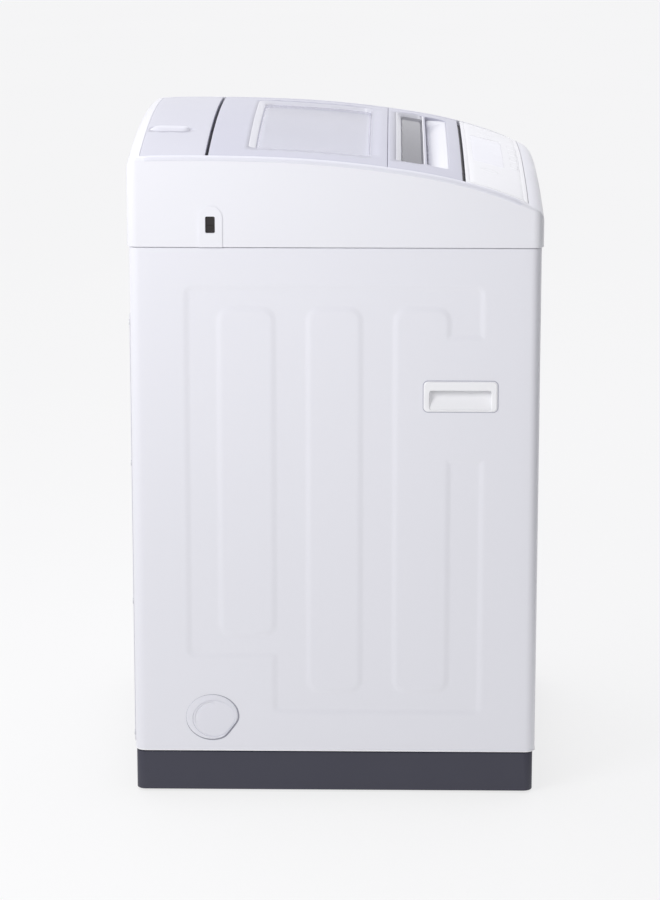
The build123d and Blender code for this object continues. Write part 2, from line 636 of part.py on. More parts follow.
with BuildPart() as lid_window:
    with BuildSketch(Plane.XY.offset(FRAME_Z)):
        with Locations((0, (WIN_Y0 + WIN_Y1) / 2)):
            RectangleRounded(2 * WIN_X, WIN_Y1 - WIN_Y0, 11)
    extrude(amount=COVER_H)
    add(crown_down(5.5), mode=Mode.INTERSECT)
    add(crown_down(8.0), mode=Mode.SUBTRACT)
finish_piece(lid_window, "lid_window")

FWIN_Y0, FWIN_Y1 = -114.5, -86.0
SCOOP_Y0, SCOOP_Y1 = -149.0, -118.0
FRONT_X = 205.0
with BuildPart() as lid_front_panel:
    extrude(skin_outline(LID_FRONT, LID_FOLD - 0.5, PANEL_X, 2.5), amount=COVER_H)
    add(crown.part, mode=Mode.INTERSECT)
    add(crown_down(7.2), mode=Mode.SUBTRACT)
    add(skin_core(LID_FRONT, LID_FOLD - 0.5, PANEL_X, 2, 3, SKIN), mode=Mode.SUBTRACT)
    # solid behind the window seat and the hand scoop
    with BuildPart(mode=Mode.PRIVATE) as seat:
        with BuildSketch(Plane.XY.offset(FRAME_Z)):
            with Locations((0, (SCOOP_Y0 - 2.5 + FWIN_Y1 + 11) / 2)):
                RectangleRounded(2 * FRONT_X + 5, FWIN_Y1 + 11 - SCOOP_Y0 + 2.5, 10)
        extrude(amount=COVER_H)
        add(crown_down(1.0), mode=Mode.INTERSECT)
        add(crown_down(10.5), mode=Mode.SUBTRACT)
    add(seat.part)
    with BuildPart(mode=Mode.PRIVATE) as scoop_body:
        with BuildSketch(Plane.XY.offset(FRAME_Z)):
            with Locations((0, (SCOOP_Y0 + SCOOP_Y1) / 2)):
                RectangleRounded(2 * 165, SCOOP_Y1 - SCOOP_Y0 + 5, 10)
        extrude(amount=COVER_H)
        add(crown_down(1.0), mode=Mode.INTERSECT)
        add(crown_down(18.5), mode=Mode.SUBTRACT)
    add(scoop_body.part)
    with BuildPart(mode=Mode.PRIVATE) as window_sink:
        with BuildSketch(Plane.XY.offset(FRAME_Z)):
            with Locations((0, (FWIN_Y0 + FWIN_Y1 + 8) / 2)):
                RectangleRounded(2 * FRONT_X, FWIN_Y1 + 8 - FWIN_Y0, 6)
        extrude(amount=COVER_H)
        add(crown_down(8.0), mode=Mode.SUBTRACT)
    add(window_sink.part, mode=Mode.SUBTRACT)
    with BuildSketch(Plane.XY.offset(FRAME_Z)):
        with Locations((0, (FWIN_Y0 + FWIN_Y1) / 2)):
            RectangleRounded(2 * FRONT_X - 16, FWIN_Y1 - FWIN_Y0 - 6, 4)
    extrude(amount=COVER_H, mode=Mode.SUBTRACT)
    with BuildPart(mode=Mode.PRIVATE) as scoop:
        with BuildSketch(Plane.XY.offset(FRAME_Z)):
            with Locations((0, (SCOOP_Y0 + SCOOP_Y1) / 2)):
                RectangleRounded(2 * FRONT_X, SCOOP_Y1 - SCOOP_Y0, 10)
        extrude(amount=COVER_H)
        add(crown_down(8.0), mode=Mode.SUBTRACT)
    add(scoop.part, mode=Mode.SUBTRACT)
    with BuildPart(mode=Mode.PRIVATE) as scoop_deep:
        with BuildSketch(Plane.XY.offset(FRAME_Z)):
            with Locations((0, (SCOOP_Y0 + SCOOP_Y1) / 2)):
                RectangleRounded(2 * 162, SCOOP_Y1 - SCOOP_Y0, 8)
        extrude(amount=COVER_H)
        add(crown_down(16.0), mode=Mode.SUBTRACT)
    add(scoop_deep.part, mode=Mode.SUBTRACT)
    # fold lugs, inboard of the rear leaf's
    for x in (-227.6, 219.6):
        with BuildSketch(Plane.YZ.offset(x)):
            with BuildLine():
                Polyline((LID_FOLD - 0.9, 845), (LID_FOLD - 0.9, FOLD_Z + 3), (LID_FOLD + 2.5, FOLD_Z - 3),
                         (LID_FOLD - 3.5, FOLD_Z - 4), (LID_FOLD - 14, 845), close=True)
            make_face()
            with Locations((LID_FOLD, FOLD_Z)):
                Circle(4.6)
        extrude(amount=8)
    with Locations((-223.6, LID_FOLD, FOLD_Z), (223.6, LID_FOLD, FOLD_Z)):
        Cylinder(PIN_R + RUN, 12, rotation=(0, 90, 0), mode=Mode.SUBTRACT)
finish_piece(lid_front_panel, "lid_front_panel")

with BuildPart() as lid_front_window:
    with BuildSketch(Plane.XY.offset(FRAME_Z)):
        with Locations((0, (FWIN_Y0 + FWIN_Y1) / 2)):
            RectangleRounded(2 * FRONT_X - 1, FWIN_Y1 - FWIN_Y0, 6)
    extrude(amount=COVER_H)
    add(crown_down(5.5), mode=Mode.INTERSECT)
    add(crown_down(8.0), mode=Mode.SUBTRACT)
finish_piece(lid_front_window, "lid_front_window")

with BuildPart() as lid_hinge_pins:
    with Locations((-HINGE_X - 8, HINGE_Y, HINGE_Z), (HINGE_X + 8, HINGE_Y, HINGE_Z)):
        Cylinder(PIN_R, 17, rotation=(0, 90, 0))
finish_piece(lid_hinge_pins, "lid_hinge_pins")

with BuildPart() as fold_pins:
    with Locations((-227.8, LID_FOLD, FOLD_Z), (227.8, LID_FOLD, FOLD_Z)):
        Cylinder(PIN_R, 16.4, rotation=(0, 90, 0))
finish_piece(fold_pins, "fold_pins")

# ---------------------------------------------------------------- small pieces of the top
with BuildPart() as side_clips:
    for side in (-1, 1):
        with BuildSketch(Plane.YZ.offset(side * (HALF_W - 1.2))):
            with Locations((161.65, 774.4)):
                RectangleRounded(12.3, 21.6, 1.9)
        extrude(amount=-side * 3.5)
        with BuildSketch(Plane.YZ.offset(side * (HALF_W - 1.2))):
            with Locations((161.65, 771.5)):
                Rectangle(7, 3)
        extrude(amount=side * 1.4)
finish_piece(side_clips, "side_clips")

with BuildPart() as inlet_valve:
    with BuildSketch(Plane.XZ.offset(-HALF_D + 4.5)):
        with Locations((155, 800)):
            Circle(INLET_R)
    extrude(amount=52)
    with BuildSketch(Plane.XZ.offset(-HALF_D + 4.5)):
        with Locations((155, 800)):
            Circle(8)
    extrude(amount=24, mode=Mode.SUBTRACT)
    with BuildSketch(Plane.XZ.offset(-HALF_D + 40.5)):
        with Locations((155, 800)):
            RectangleRounded(44, 44, 5)
    extrude(amount=20)
    with BuildSketch(Plane.XY.offset(755)):
        with Locations((155, 219.5)):
            Circle(9.5)
    extrude(amount=24)
    with BuildSketch(Plane.YZ.offset(110)):
        with Locations((219.5, 805)):
            Circle(7)
    extrude(amount=24)
finish_piece(inlet_valve, "inlet_valve")

with BuildPart() as water_box:
    with BuildSketch(Plane.XY.offset(786)):
        with Locations((15, 214)):
            RectangleRounded(188, 76, 6)
    extrude(amount=48)
    with BuildSketch(Plane.XY.offset(788.5)):
        with Locations((15, 214)):
            RectangleRounded(183, 71, 4)
    extrude(amount=43, mode=Mode.SUBTRACT)
    with BuildSketch(Plane.XZ.offset(-177)):
        with Locations((0, 796)):
            Rectangle(120, 14)
    extrude(amount=3)
    with BuildSketch(Plane.XZ.offset(-179)):
        with Locations((0, 796)):
            Rectangle(114, 8)
    extrude(amount=6, mode=Mode.SUBTRACT)
    with BuildSketch(Plane.YZ.offset(100)):
        with Locations((219.5, 805)):
            Circle(7.1)
    extrude(amount=12, mode=Mode.SUBTRACT)
finish_piece(water_box, "water_box")

with BuildPart() as lid_switch:
    with BuildSketch(Plane.XY.offset(800)):
        with Locations((215, 150)):
            Rectangle(20, 34)
    extrude(amount=23.8)
finish_piece(lid_switch, "lid_switch")

# ---------------------------------------------------------------- rear outlets
with BuildPart() as drain_outlet:
    with BuildSketch(Plane.XZ.offset(-HALF_D + 0.4)):
        with Locations((170, 110)):
            Circle(17)
    extrude(amount=48)
    with BuildSketch(Plane.XZ.offset(-CAB_Y + 0.2)):
        with Locations((170, 110)):
            Circle(21)
    extrude(amount=2.5)
    with BuildSketch(Plane.XZ.offset(-HALF_D - 1)):
        with Locations((170, 110)):
            Circle(13)
    extrude(amount=60, mode=Mode.SUBTRACT)
finish_piece(drain_outlet, "drain_outlet")

with BuildPart() as cord_gland:
    with BuildSketch(Plane.XZ.offset(-HALF_D + 0.3)):
        with Locations((-190, 600)):
            Circle(9)
    extrude(amount=14)
    with BuildSketch(Plane.XZ.offset(-CAB_Y + 0.2)):
        with Locations((-190, 600)):
            Circle(12)
    extrude(amount=2.5)
    with BuildSketch(Plane.XZ.offset(-HALF_D - 1)):
        with Locations((-190, 600)):
            Circle(4)
    extrude(amount=20, mode=Mode.SUBTRACT)
finish_piece(cord_gland, "cord_gland")

# ---------------------------------------------------------------- suspension
CORNERS = [(sx * ROD_X, sy * ROD_Y) for sx in (1, -1) for sy in (1, -1)]
BRACKET_Z = 726.0
LUG_Z0, LUG_Z1 = 296.0, 312.0
ROD_Z0 = 244.0
with BuildPart() as corner_brackets:
    for sx in (1, -1):
        for sy in (1, -1):
            with BuildSketch(Plane.XY.offset(BRACKET_Z)):
                with BuildLine():
                    xo, yo = CAB_X - SHEET - 0.05, CAB_Y - SHEET - 0.05
                    Polyline((sx * (xo - 14), sy * yo), (sx * 186, sy * yo), (sx * 186, sy * (yo - 22)),
                             (sx * (xo - 22), sy * 188), (sx * xo, sy * 188), (sx * xo, sy * (yo - 14)), close=True)
                make_face()
                with Locations((sx * ROD_X, sy * ROD_Y)):
                    Circle(5.2, mode=Mode.SUBTRACT)
            extrude(amount=3)
finish_piece(corner_brackets, "corner_brackets")

with BuildPart() as rod_seats:
    with Locations(*[(x, y, BRACKET_Z + 3) for x, y in CORNERS]):
        Cylinder(11, 8, align=(Align.CENTER, Align.CENTER, Align.MIN))
    fillet(rod_seats.edges().filter_by(GeomType.CIRCLE).group_by(Axis.Z)[-1], 4)
    with Locations(*[(x, y, BRACKET_Z) for x, y in CORNERS]):
        Cylinder(4.02, 30, mode=Mode.SUBTRACT)
finish_piece(rod_seats, "rod_seats")

with BuildPart() as suspension_rods:
    with Locations(*[(x, y, ROD_Z0 - 3) for x, y in CORNERS]):
        Cylinder(4, BRACKET_Z + 13 - ROD_Z0 + 3, align=(Align.CENTER, Align.CENTER, Align.MIN))
    with Locations(*[(x, y, ROD_Z0 - 5) for x, y in CORNERS]):
        Cylinder(8, 5, align=(Align.CENTER, Align.CENTER, Align.MIN))
    with Locations(*[(x, y, BRACKET_Z + 11.05) for x, y in CORNERS]):
        Cylinder(7, 2, align=(Align.CENTER, Align.CENTER, Align.MIN))
finish_piece(suspension_rods, "suspension_rods")

with BuildPart() as spring_cups:
    with Locations(*[(x, y, ROD_Z0 + 0.05) for x, y in CORNERS]):
        Cylinder(19, 32, align=(Align.CENTER, Align.CENTER, Align.MIN))
    with Locations(*[(x, y, ROD_Z0 + 3) for x, y in CORNERS]):
        Cylinder(16.5, 40, align=(Align.CENTER, Align.CENTER, Align.MIN), mode=Mode.SUBTRACT)
    with Locations(*[(x, y, ROD_Z0) for x, y in CORNERS]):
        Cylinder(4.05, 20, mode=Mode.SUBTRACT)
finish_piece(spring_cups, "spring_cups")

SPRING_R, WIRE_R = 12.0, 1.7
SPRING_Z0, SPRING_Z1 = ROD_Z0 + 3 + WIRE_R, LUG_Z0 - WIRE_R
with BuildPart() as one_spring:
    with BuildLine() as coil_path:
        Helix(pitch=(SPRING_Z1 - SPRING_Z0) / 6, height=SPRING_Z1 - SPRING_Z0, radius=SPRING_R,
              center=(0, 0, SPRING_Z0))
    with BuildSketch(Plane(origin=coil_path.line @ 0, z_dir=coil_path.line % 0)):
        Circle(WIRE_R)
    sweep(is_frenet=True)
with BuildPart() as suspension_springs:
    for x, y in CORNERS:
        add(one_spring.part.moved(Location((x, y, 0))))
finish_piece(suspension_springs, "suspension_springs")

# ---------------------------------------------------------------- outer tub
SPIN_R = 16.0  # hollow spin shaft
WASH_R = 8.0  # wash shaft inside it
with BuildPart() as outer_tub:
    Cylinder(TUB_R + TUB_WALL, TUB_TOP - TUB_BOTTOM, align=(Align.CENTER, Align.CENTER, Align.MIN))
    for x, y in CORNERS:
        with BuildSketch(Plane.XY.offset(LUG_Z0 - TUB_BOTTOM)):
            with Locations(((x * 0.86), (y * 0.86))):
                Rectangle(112, 36, rotation=45 if x * y > 0 else -45)
            with Locations((x, y)):
                Circle(5.5, mode=Mode.SUBTRACT)
        extrude(amount=LUG_Z1 - LUG_Z0)
    fillet(outer_tub.edges().filter_by(GeomType.CIRCLE).group_by(Axis.Z)[0], 6)
    with Locations((0, 0, 4)):
        Cylinder(TUB_R, 600, align=(Align.CENTER, Align.CENTER, Align.MIN), mode=Mode.SUBTRACT)
    Cylinder(24.05, 40, mode=Mode.SUBTRACT)
    with Locations((150, 110)):
        Cylinder(14, 40, mode=Mode.SUBTRACT)
outer_tub.part = outer_tub.part.moved(Location((0, 0, TUB_BOTTOM)))
finish_piece(outer_tub, "outer_tub")

with BuildPart() as tub_ring:
    with BuildSketch(Plane.XZ):
        with BuildLine():
            Polyline((TUB_R + TUB_WALL + 0.05, TUB_TOP - 14), (TUB_R + TUB_WALL + 2.5, TUB_TOP - 14),
                     (TUB_R + TUB_WALL + 2.5, TUB_TOP + 3), (TUB_R - 6, TUB_TOP + 8), (199, TUB_TOP + 8),
                     (197, TUB_TOP - 2), (200, TUB_TOP - 2), (202, TUB_TOP + 5), (TUB_R - 7, TUB_TOP + 5),
                     (TUB_R - 1, TUB_TOP + 0.05), (TUB_R + TUB_WALL + 0.05, TUB_TOP + 0.05), close=True)
        make_face()
    revolve(axis=Axis.Z)
finish_piece(tub_ring, "tub_ring")

with BuildPart() as tub_seal:
    with Locations((0, 0, TUB_BOTTOM)):
        Cylinder(24, 9, align=(Align.CENTER, Align.CENTER, Align.MIN))
    with Locations((0, 0, TUB_BOTTOM)):
        Cylinder(SPIN_R + 0.06, 40, mode=Mode.SUBTRACT)
finish_piece(tub_seal, "tub_seal")

# ---------------------------------------------------------------- basket
with BuildPart() as basket:
    with BuildSketch(Plane.XZ):
        with BuildLine():
            Polyline((SPIN_R + 0.1, 1.0), (SPIN_R + 0.1, 0), (BASKET_R - 12, 0))
            RadiusArc((BASKET_R - 12, 0), (BASKET_R, 12), -12)
            Polyline((BASKET_R, 12), (BASKET_R, BASKET_TOP - BASKET_BOTTOM), (BASKET_R - 0.9, BASKET_TOP - BASKET_BOTTOM),
                     (BASKET_R - 0.9, 12))
            RadiusArc((BASKET_R - 0.9, 12), (BASKET_R - 12, 1.0), 11)
            Line((BASKET_R - 12, 1.0), (SPIN_R + 0.1, 1.0))
        make_face()
    revolve(axis=Axis.Z)
    with PolarLocations(0, 12):
        with Locations(*[(BASKET_R, 0, z) for z in (90, 200, 310)]):
            Cylinder(4, 30, rotation=(0, 90, 0), mode=Mode.SUBTRACT)
    with PolarLocations(185, 12):
        Cylinder(3, 30, mode=Mode.SUBTRACT)
basket.part = basket.part.moved(Location((0, 0, BASKET_BOTTOM)))
finish_piece(basket, "basket")

BAL_Z0, BAL_Z1 = 655.0, 702.0
with BuildPart() as balance_ring:
    with BuildSketch(Plane.XZ):
        with BuildLine():
            Polyline((BASKET_R + 0.05, BAL_Z0 - 10), (BASKET_R + 3, BAL_Z0 - 10), (BASKET_R + 3, BAL_Z1 - 6),
                     (BASKET_R - 2, BAL_Z1), (BASKET_R - 14, BAL_Z1 + 0.0), (BASKET_R - 22, BAL_Z1 - 10),
                     (BASKET_R - 22, BAL_Z0 + 8), (BASKET_R - 8, BAL_Z0 + 5.05), (BASKET_R + 0.05, BAL_Z0 + 5.05), close=True)
        make_face()
    revolve(axis=Axis.Z)
finish_piece(balance_ring, "balance_ring")

with BuildPart() as basket_hub:
    with Locations((0, 0, BASKET_BOTTOM - 3)):
        Cylinder(150, 3, align=(Align.CENTER, Align.CENTER, Align.MIN))
    with PolarLocations(78, 6):
        with Locations((0, 0, BASKET_BOTTOM - 9)):
            Box(120, 8, 6.5, align=(Align.CENTER, Align.CENTER, Align.MIN))
    with Locations((0, 0, BASKET_BOTTOM - 13)):
        Cylinder(34, 13, align=(Align.CENTER, Align.CENTER, Align.MIN))
    with Locations((0, 0, BASKET_BOTTOM)):
        Cylinder(SPIN_R + 0.02, 60, mode=Mode.SUBTRACT)
finish_piece(basket_hub, "basket_hub")

GEAR_Z0, GEAR_Z1 = 142.0, 214.0
with BuildPart() as spin_shaft:
    with Locations((0, 0, GEAR_Z1 - 26)):
        Cylinder(SPIN_R, BASKET_BOTTOM + 3 - GEAR_Z1 + 26, align=(Align.CENTER, Align.CENTER, Align.MIN))
    with Locations((0, 0, GEAR_Z1)):
        Cylinder(WASH_R + 0.06, 200, mode=Mode.SUBTRACT)
finish_piece(spin_shaft, "spin_shaft")

with BuildPart() as lint_filter:
    for a in (20, 200):
        with BuildSketch(Plane.XY.offset(430)):
            with Locations(Location((0, 0, 0), (0, 0, a))):
                with Locations((BASKET_R - 7.5, 0)):
                    Rectangle(10, 62)
        extrude(amount=150)
    with BuildSketch(Plane.XY.offset(425)):
        Circle(BASKET_R - 1.3)
    extrude(amount=160, mode=Mode.INTERSECT)
finish_piece(lint_filter, "lint_filters")

# ---------------------------------------------------------------- wash plate
WP_Z = BASKET_BOTTOM + 8
with BuildPart() as wash_plate:
    with BuildSketch(Plane.XZ):
        with BuildLine():
            Polyline((0, WP_Z), (150, WP_Z), (158, WP_Z + 6), (160, WP_Z + 16), (156, WP_Z + 16), (148, WP_Z + 8),
                     (90, WP_Z + 8), (50, WP_Z + 18), (34, WP_Z + 30), (0, WP_Z + 30), close=True)
        make_face()
    revolve(axis=Axis.Z)
    for i in range(6):
        with BuildSketch(Plane.XY.rotated((0, 0, i * 60)).offset(WP_Z + 4)):
            with BuildLine():
                Polyline((30, -9), (148, -5), (148, 5), (30, 9), close=True)
            make_face()
        extrude(amount=20, taper=14)
    with PolarLocations(118, 6, start_angle=30):
        Cylinder(3, 700, mode=Mode.SUBTRACT)
    with PolarLocations(135, 12, start_angle=15):
        Cylinder(2.5, 700, mode=Mode.SUBTRACT)
    Cylinder(WASH_R + 0.02, 700, mode=Mode.SUBTRACT)
    with Locations((0, 0, WP_Z + 26)):
        Cylinder(20, 10, align=(Align.CENTER, Align.CENTER, Align.MIN), mode=Mode.SUBTRACT)
finish_piece(wash_plate, "wash_plate")

with BuildPart() as wash_plate_cap:
    with Locations((0, 0, WP_Z + 26.05)):
        Cylinder(19.9, 6, align=(Align.CENTER, Align.CENTER, Align.MIN))
    fillet(wash_plate_cap.edges().filter_by(GeomType.CIRCLE).group_by(Axis.Z)[-1], 3)
finish_piece(wash_plate_cap, "wash_plate_cap")

with BuildPart() as wash_shaft:
    with Locations((0, 0, GEAR_Z1 - 24)):
        Cylinder(WASH_R, WP_Z + 24 - GEAR_Z1 + 24, align=(Align.CENTER, Align.CENTER, Align.MIN))
finish_piece(wash_shaft, "wash_shaft")

# ---------------------------------------------------------------- drive under the tub
with BuildPart() as gearcase:
    with Locations((0, 0, GEAR_Z0)):
        Cylinder(72, GEAR_Z1 - GEAR_Z0, align=(Align.CENTER, Align.CENTER, Align.MIN))
    fillet(gearcase.edges().filter_by(GeomType.CIRCLE).group_by(Axis.Z)[0], 8)
    with Locations((0, 0, GEAR_Z1 - 27)):
        Cylinder(SPIN_R + 0.06, 60, align=(Align.CENTER, Align.CENTER, Align.MIN), mode=Mode.SUBTRACT)
    with Locations((0, 0, GEAR_Z0)):
        Cylinder(WASH_R + 0.06, 40, mode=Mode.SUBTRACT)
finish_piece(gearcase, "gearcase")

with BuildPart() as motor_bracket:
    with BuildSketch(Plane.XY.offset(GEAR_Z1 + 0.05)):
        with Locations((0, 65)):
            RectangleRounded(190, 310, 30)
        Circle(26, mode=Mode.SUBTRACT)
    extrude(amount=3)
    with BuildSketch(Plane.XY.offset(GEAR_Z1 + 3)):
        with Locations((75, -60), (-75, -60), (75, 60), (-75, 60)):
            Circle(9)
    extrude(amount=TUB_BOTTOM - GEAR_Z1 - 3)
finish_piece(motor_bracket, "motor_bracket")

with BuildPart() as motor:
    with Locations((MOTOR_X, MOTOR_Y, 136)):
        Cylinder(60, GEAR_Z1 - 136, align=(Align.CENTER, Align.CENTER, Align.MIN))
    fillet(motor.edges().filter_by(GeomType.CIRCLE), 5)
    with Locations((MOTOR_X, MOTOR_Y, 136)):
        Cylinder(6.06, 40, mode=Mode.SUBTRACT)
finish_piece(motor, "motor")

with BuildPart() as motor_pulley:
    with BuildSketch(Plane.XZ.offset(-MOTOR_Y)):
        with BuildLine():
            Polyline((6.02, PULLEY_Z - 8), (25, PULLEY_Z - 8), (25, PULLEY_Z - 5), (20, PULLEY_Z - 4),
                     (20, PULLEY_Z + 4), (25, PULLEY_Z + 5), (25, PULLEY_Z + 8), (6.02, PULLEY_Z + 8), close=True)
        make_face()
    revolve(axis=Axis((0, MOTOR_Y, 0), (0, 0, 1)))
finish_piece(motor_pulley, "motor_pulley")

with BuildPart() as motor_shaft:
    with Locations((MOTOR_X, MOTOR_Y, PULLEY_Z - 10)):
        Cylinder(6, 136 + 18 - PULLEY_Z + 10, align=(Align.CENTER, Align.CENTER, Align.MIN))
finish_piece(motor_shaft, "motor_shaft")

with BuildPart() as drive_pulley:
    with BuildSketch(Plane.XZ):
        with BuildLine():
            Polyline((8.02, PULLEY_Z - 10), (18, PULLEY_Z - 10), (20, PULLEY_Z - 4), (64, PULLEY_Z - 4),
                     (66, PULLEY_Z - 8), (78, PULLEY_Z - 8), (78, PULLEY_Z - 5), (72, PULLEY_Z - 4),
                     (72, PULLEY_Z + 4), (78, PULLEY_Z + 5), (78, PULLEY_Z + 8), (66, PULLEY_Z + 8),
                     (64, PULLEY_Z + 2), (20, PULLEY_Z + 2), (18, PULLEY_Z + 8), (8.02, PULLEY_Z + 8), close=True)
        make_face()
    revolve(axis=Axis.Z)
    with PolarLocations(43, 6):
        with Locations((0, 0, PULLEY_Z)):
            Cylinder(12, 30, mode=Mode.SUBTRACT)
finish_piece(drive_pulley, "drive_pulley")

with BuildPart() as input_shaft:
    with Locations((0, 0, PULLEY_Z - 14)):
        Cylinder(WASH_R, GEAR_Z0 + 18 - PULLEY_Z + 14, align=(Align.CENTER, Align.CENTER, Align.MIN))
finish_piece(input_shaft, "input_shaft")

with BuildPart() as drive_belt:
    with BuildSketch(Plane.XY.offset(PULLEY_Z - 3.2)):
        with Locations((0, 0)):
            Circle(79.4)
        with Locations((MOTOR_X, MOTOR_Y)):
            Circle(27.4)
        make_hull()
    extrude(amount=6.4)
    with BuildSketch(Plane.XY.offset(PULLEY_Z - 5)):
        with Locations((0, 0)):
            Circle(72.4)
        with Locations((MOTOR_X, MOTOR_Y)):
            Circle(20.4)
        make_hull()
    extrude(amount=10, mode=Mode.SUBTRACT)
finish_piece(drive_belt, "drive_belt")

with BuildPart() as drain_valve:
    with BuildSketch(Plane.XY.offset(172)):
        with Locations((150, 110)):
            RectangleRounded(64, 44, 6)
    extrude(amount=44)
    with Locations((150, 110, 215)):
        Cylinder(13.9, 15, align=(Align.CENTER, Align.CENTER, Align.MIN))
    with BuildSketch(Plane.XZ.offset(-131)):
        with Locations((150, 190)):
            Circle(13)
    extrude(amount=-26)
    with BuildSketch(Plane.XZ.offset(-158)):
        with Locations((150, 190)):
            Circle(10)
    extrude(amount=24, mode=Mode.SUBTRACT)
finish_piece(drain_valve, "drain_valve")
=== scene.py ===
import json
import math

import bmesh
import bpy
import numpy as np
from mathutils import Matrix, Vector
from mathutils.geometry import delaunay_2d_cdt


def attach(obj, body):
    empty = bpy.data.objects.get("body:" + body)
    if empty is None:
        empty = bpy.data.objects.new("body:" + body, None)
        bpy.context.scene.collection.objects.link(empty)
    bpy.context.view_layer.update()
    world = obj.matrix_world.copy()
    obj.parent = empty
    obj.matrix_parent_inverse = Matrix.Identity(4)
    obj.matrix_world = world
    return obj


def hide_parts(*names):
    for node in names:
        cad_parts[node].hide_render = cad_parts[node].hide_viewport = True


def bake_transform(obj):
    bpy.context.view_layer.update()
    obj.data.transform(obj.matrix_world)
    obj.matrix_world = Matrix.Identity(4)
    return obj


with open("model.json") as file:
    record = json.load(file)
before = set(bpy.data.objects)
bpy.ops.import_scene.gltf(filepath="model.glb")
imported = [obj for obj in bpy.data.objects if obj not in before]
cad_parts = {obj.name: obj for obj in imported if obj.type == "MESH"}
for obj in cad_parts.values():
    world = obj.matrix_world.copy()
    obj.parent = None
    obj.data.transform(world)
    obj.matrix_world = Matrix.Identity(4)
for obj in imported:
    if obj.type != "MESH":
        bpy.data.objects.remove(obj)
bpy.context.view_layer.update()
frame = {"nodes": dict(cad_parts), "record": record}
NODES = frame["nodes"]

# ------------------------------------------------------------------ camera, lights, floor
cam_data = bpy.data.cameras.new("camera")
cam_data.lens = 3542.0 / 900.0 * 36.0
cam_data.sensor_width = 36.0
cam_data.clip_start, cam_data.clip_end = 0.1, 60.0
cam = bpy.data.objects.new("camera", cam_data)
bpy.context.scene.collection.objects.link(cam)
yaw, pitch = 0.0179, 0.2477
cam.location = (-4.762, -0.0738, 1.6133)
look = Vector((math.cos(pitch) * math.cos(yaw), math.cos(pitch) * math.sin(yaw), -math.sin(pitch)))
cam.rotation_mode = "QUATERNION"
cam.rotation_quaternion = look.to_track_quat("-Z", "Y")
bpy.context.scene.camera = cam

scene = bpy.context.scene
WORLD = (0.12, 0.46, 0.12, 0.9, 0.85)
LIGHTS = (12.3, 6)
scene.view_settings.view_transform = "Standard"
scene.view_settings.look = "None"
scene.view_settings.exposure = 0.0

world = bpy.data.worlds.new("studio")
scene.world = world
world.use_nodes = True
wn = world.node_tree
bg = wn.nodes["Background"]
bg.inputs["Strength"].default_value = 1.0


def wnode(kind, **sockets):
    n = wn.nodes.new(kind)
    for k, v in sockets.items():
        n.inputs[k].default_value = v
    return n


def wmath(op, a, b=0.0, c=None):
    n = wn.nodes.new("ShaderNodeMath")
    n.operation = op
    for i, v in enumerate((a, b) if c is None else (a, b, c)):
        if isinstance(v, (int, float)):
            n.inputs[i].default_value = v
        else:
            wn.links.new(v, n.inputs[i])
    return n.outputs[0]


def wstep(value, lo, hi):
    n = wn.nodes.new("ShaderNodeMapRange")
    n.interpolation_type = "SMOOTHSTEP"
    n.inputs["From Min"].default_value = lo
    n.inputs["From Max"].default_value = hi
    wn.links.new(value, n.inputs["Value"])
    return n.outputs["Result"]


# a soft tent of light: brighter overhead and to the rear left, dim straight in front of the machine
geo = wn.nodes.new("ShaderNodeTexCoord")
sep = wn.nodes.new("ShaderNodeSeparateXYZ")
wn.links.new(geo.outputs["Generated"], sep.inputs["Vector"])
dx, dy, dz = sep.outputs["X"], sep.outputs["Y"], sep.outputs["Z"]
up = wstep(dz, -0.1, 0.9)
rear = wstep(dy, -0.6, 0.9)
front = wmath("MULTIPLY", wstep(wmath("MULTIPLY", dy, -1.0), 0.2, 0.85), wmath("SUBTRACT", 1.0, wstep(dz, 0.05, 0.6)))
level = wmath("ADD", wmath("ADD", WORLD[0], wmath("MULTIPLY", up, WORLD[1])), wmath("MULTIPLY", rear, WORLD[2]))
level = wmath("ADD", level, wmath("MULTIPLY", wstep(dx, 0.0, 0.9), WORLD[4]))
level = wmath("MULTIPLY", level, wmath("SUBTRACT", 1.0, wmath("MULTIPLY", front, WORLD[3])))
tint = wn.nodes.new("ShaderNodeCombineColor")
for i, k in enumerate((0.975, 0.975, 1.02)):
    wn.links.new(wmath("MULTIPLY", level, k), tint.inputs[i])
wn.links.new(tint.outputs[0], bg.inputs["Color"])


def area(name, where, target, size, power, colour=(1, 1, 1)):
    data = bpy.data.lights.new(name, "AREA")
    data.shape = "RECTANGLE"
    data.size, data.size_y = size
    data.energy = power
    data.color = colour
    o = bpy.data.objects.new(name, data)
    o.location = where
    o.rotation_mode = "QUATERNION"
    o.rotation_quaternion = (Vector(target) - Vector(where)).to_track_quat("-Z", "Y")
    bpy.context.scene.collection.objects.link(o)
    return o


area("key", (-1.3, 0.95, 1.55), (-0.2, 0, 0.7), (0.8, 0.8), LIGHTS[0], (0.985, 0.985, 1.0))
area("overhead", (0.5, -0.1, 2.6), (0, 0, 0.85), (2.2, 2.6), LIGHTS[1], (0.99, 0.99, 1.0))

# ------------------------------------------------------------------ materials


def srgb(c):
    return tuple((v / 12.92 if v <= 0.04045 else ((v + 0.055) / 1.055) ** 2.4) for v in c)


def rgb8(r, g, b):
    return srgb((r / 255, g / 255, b / 255))


MATS = {}


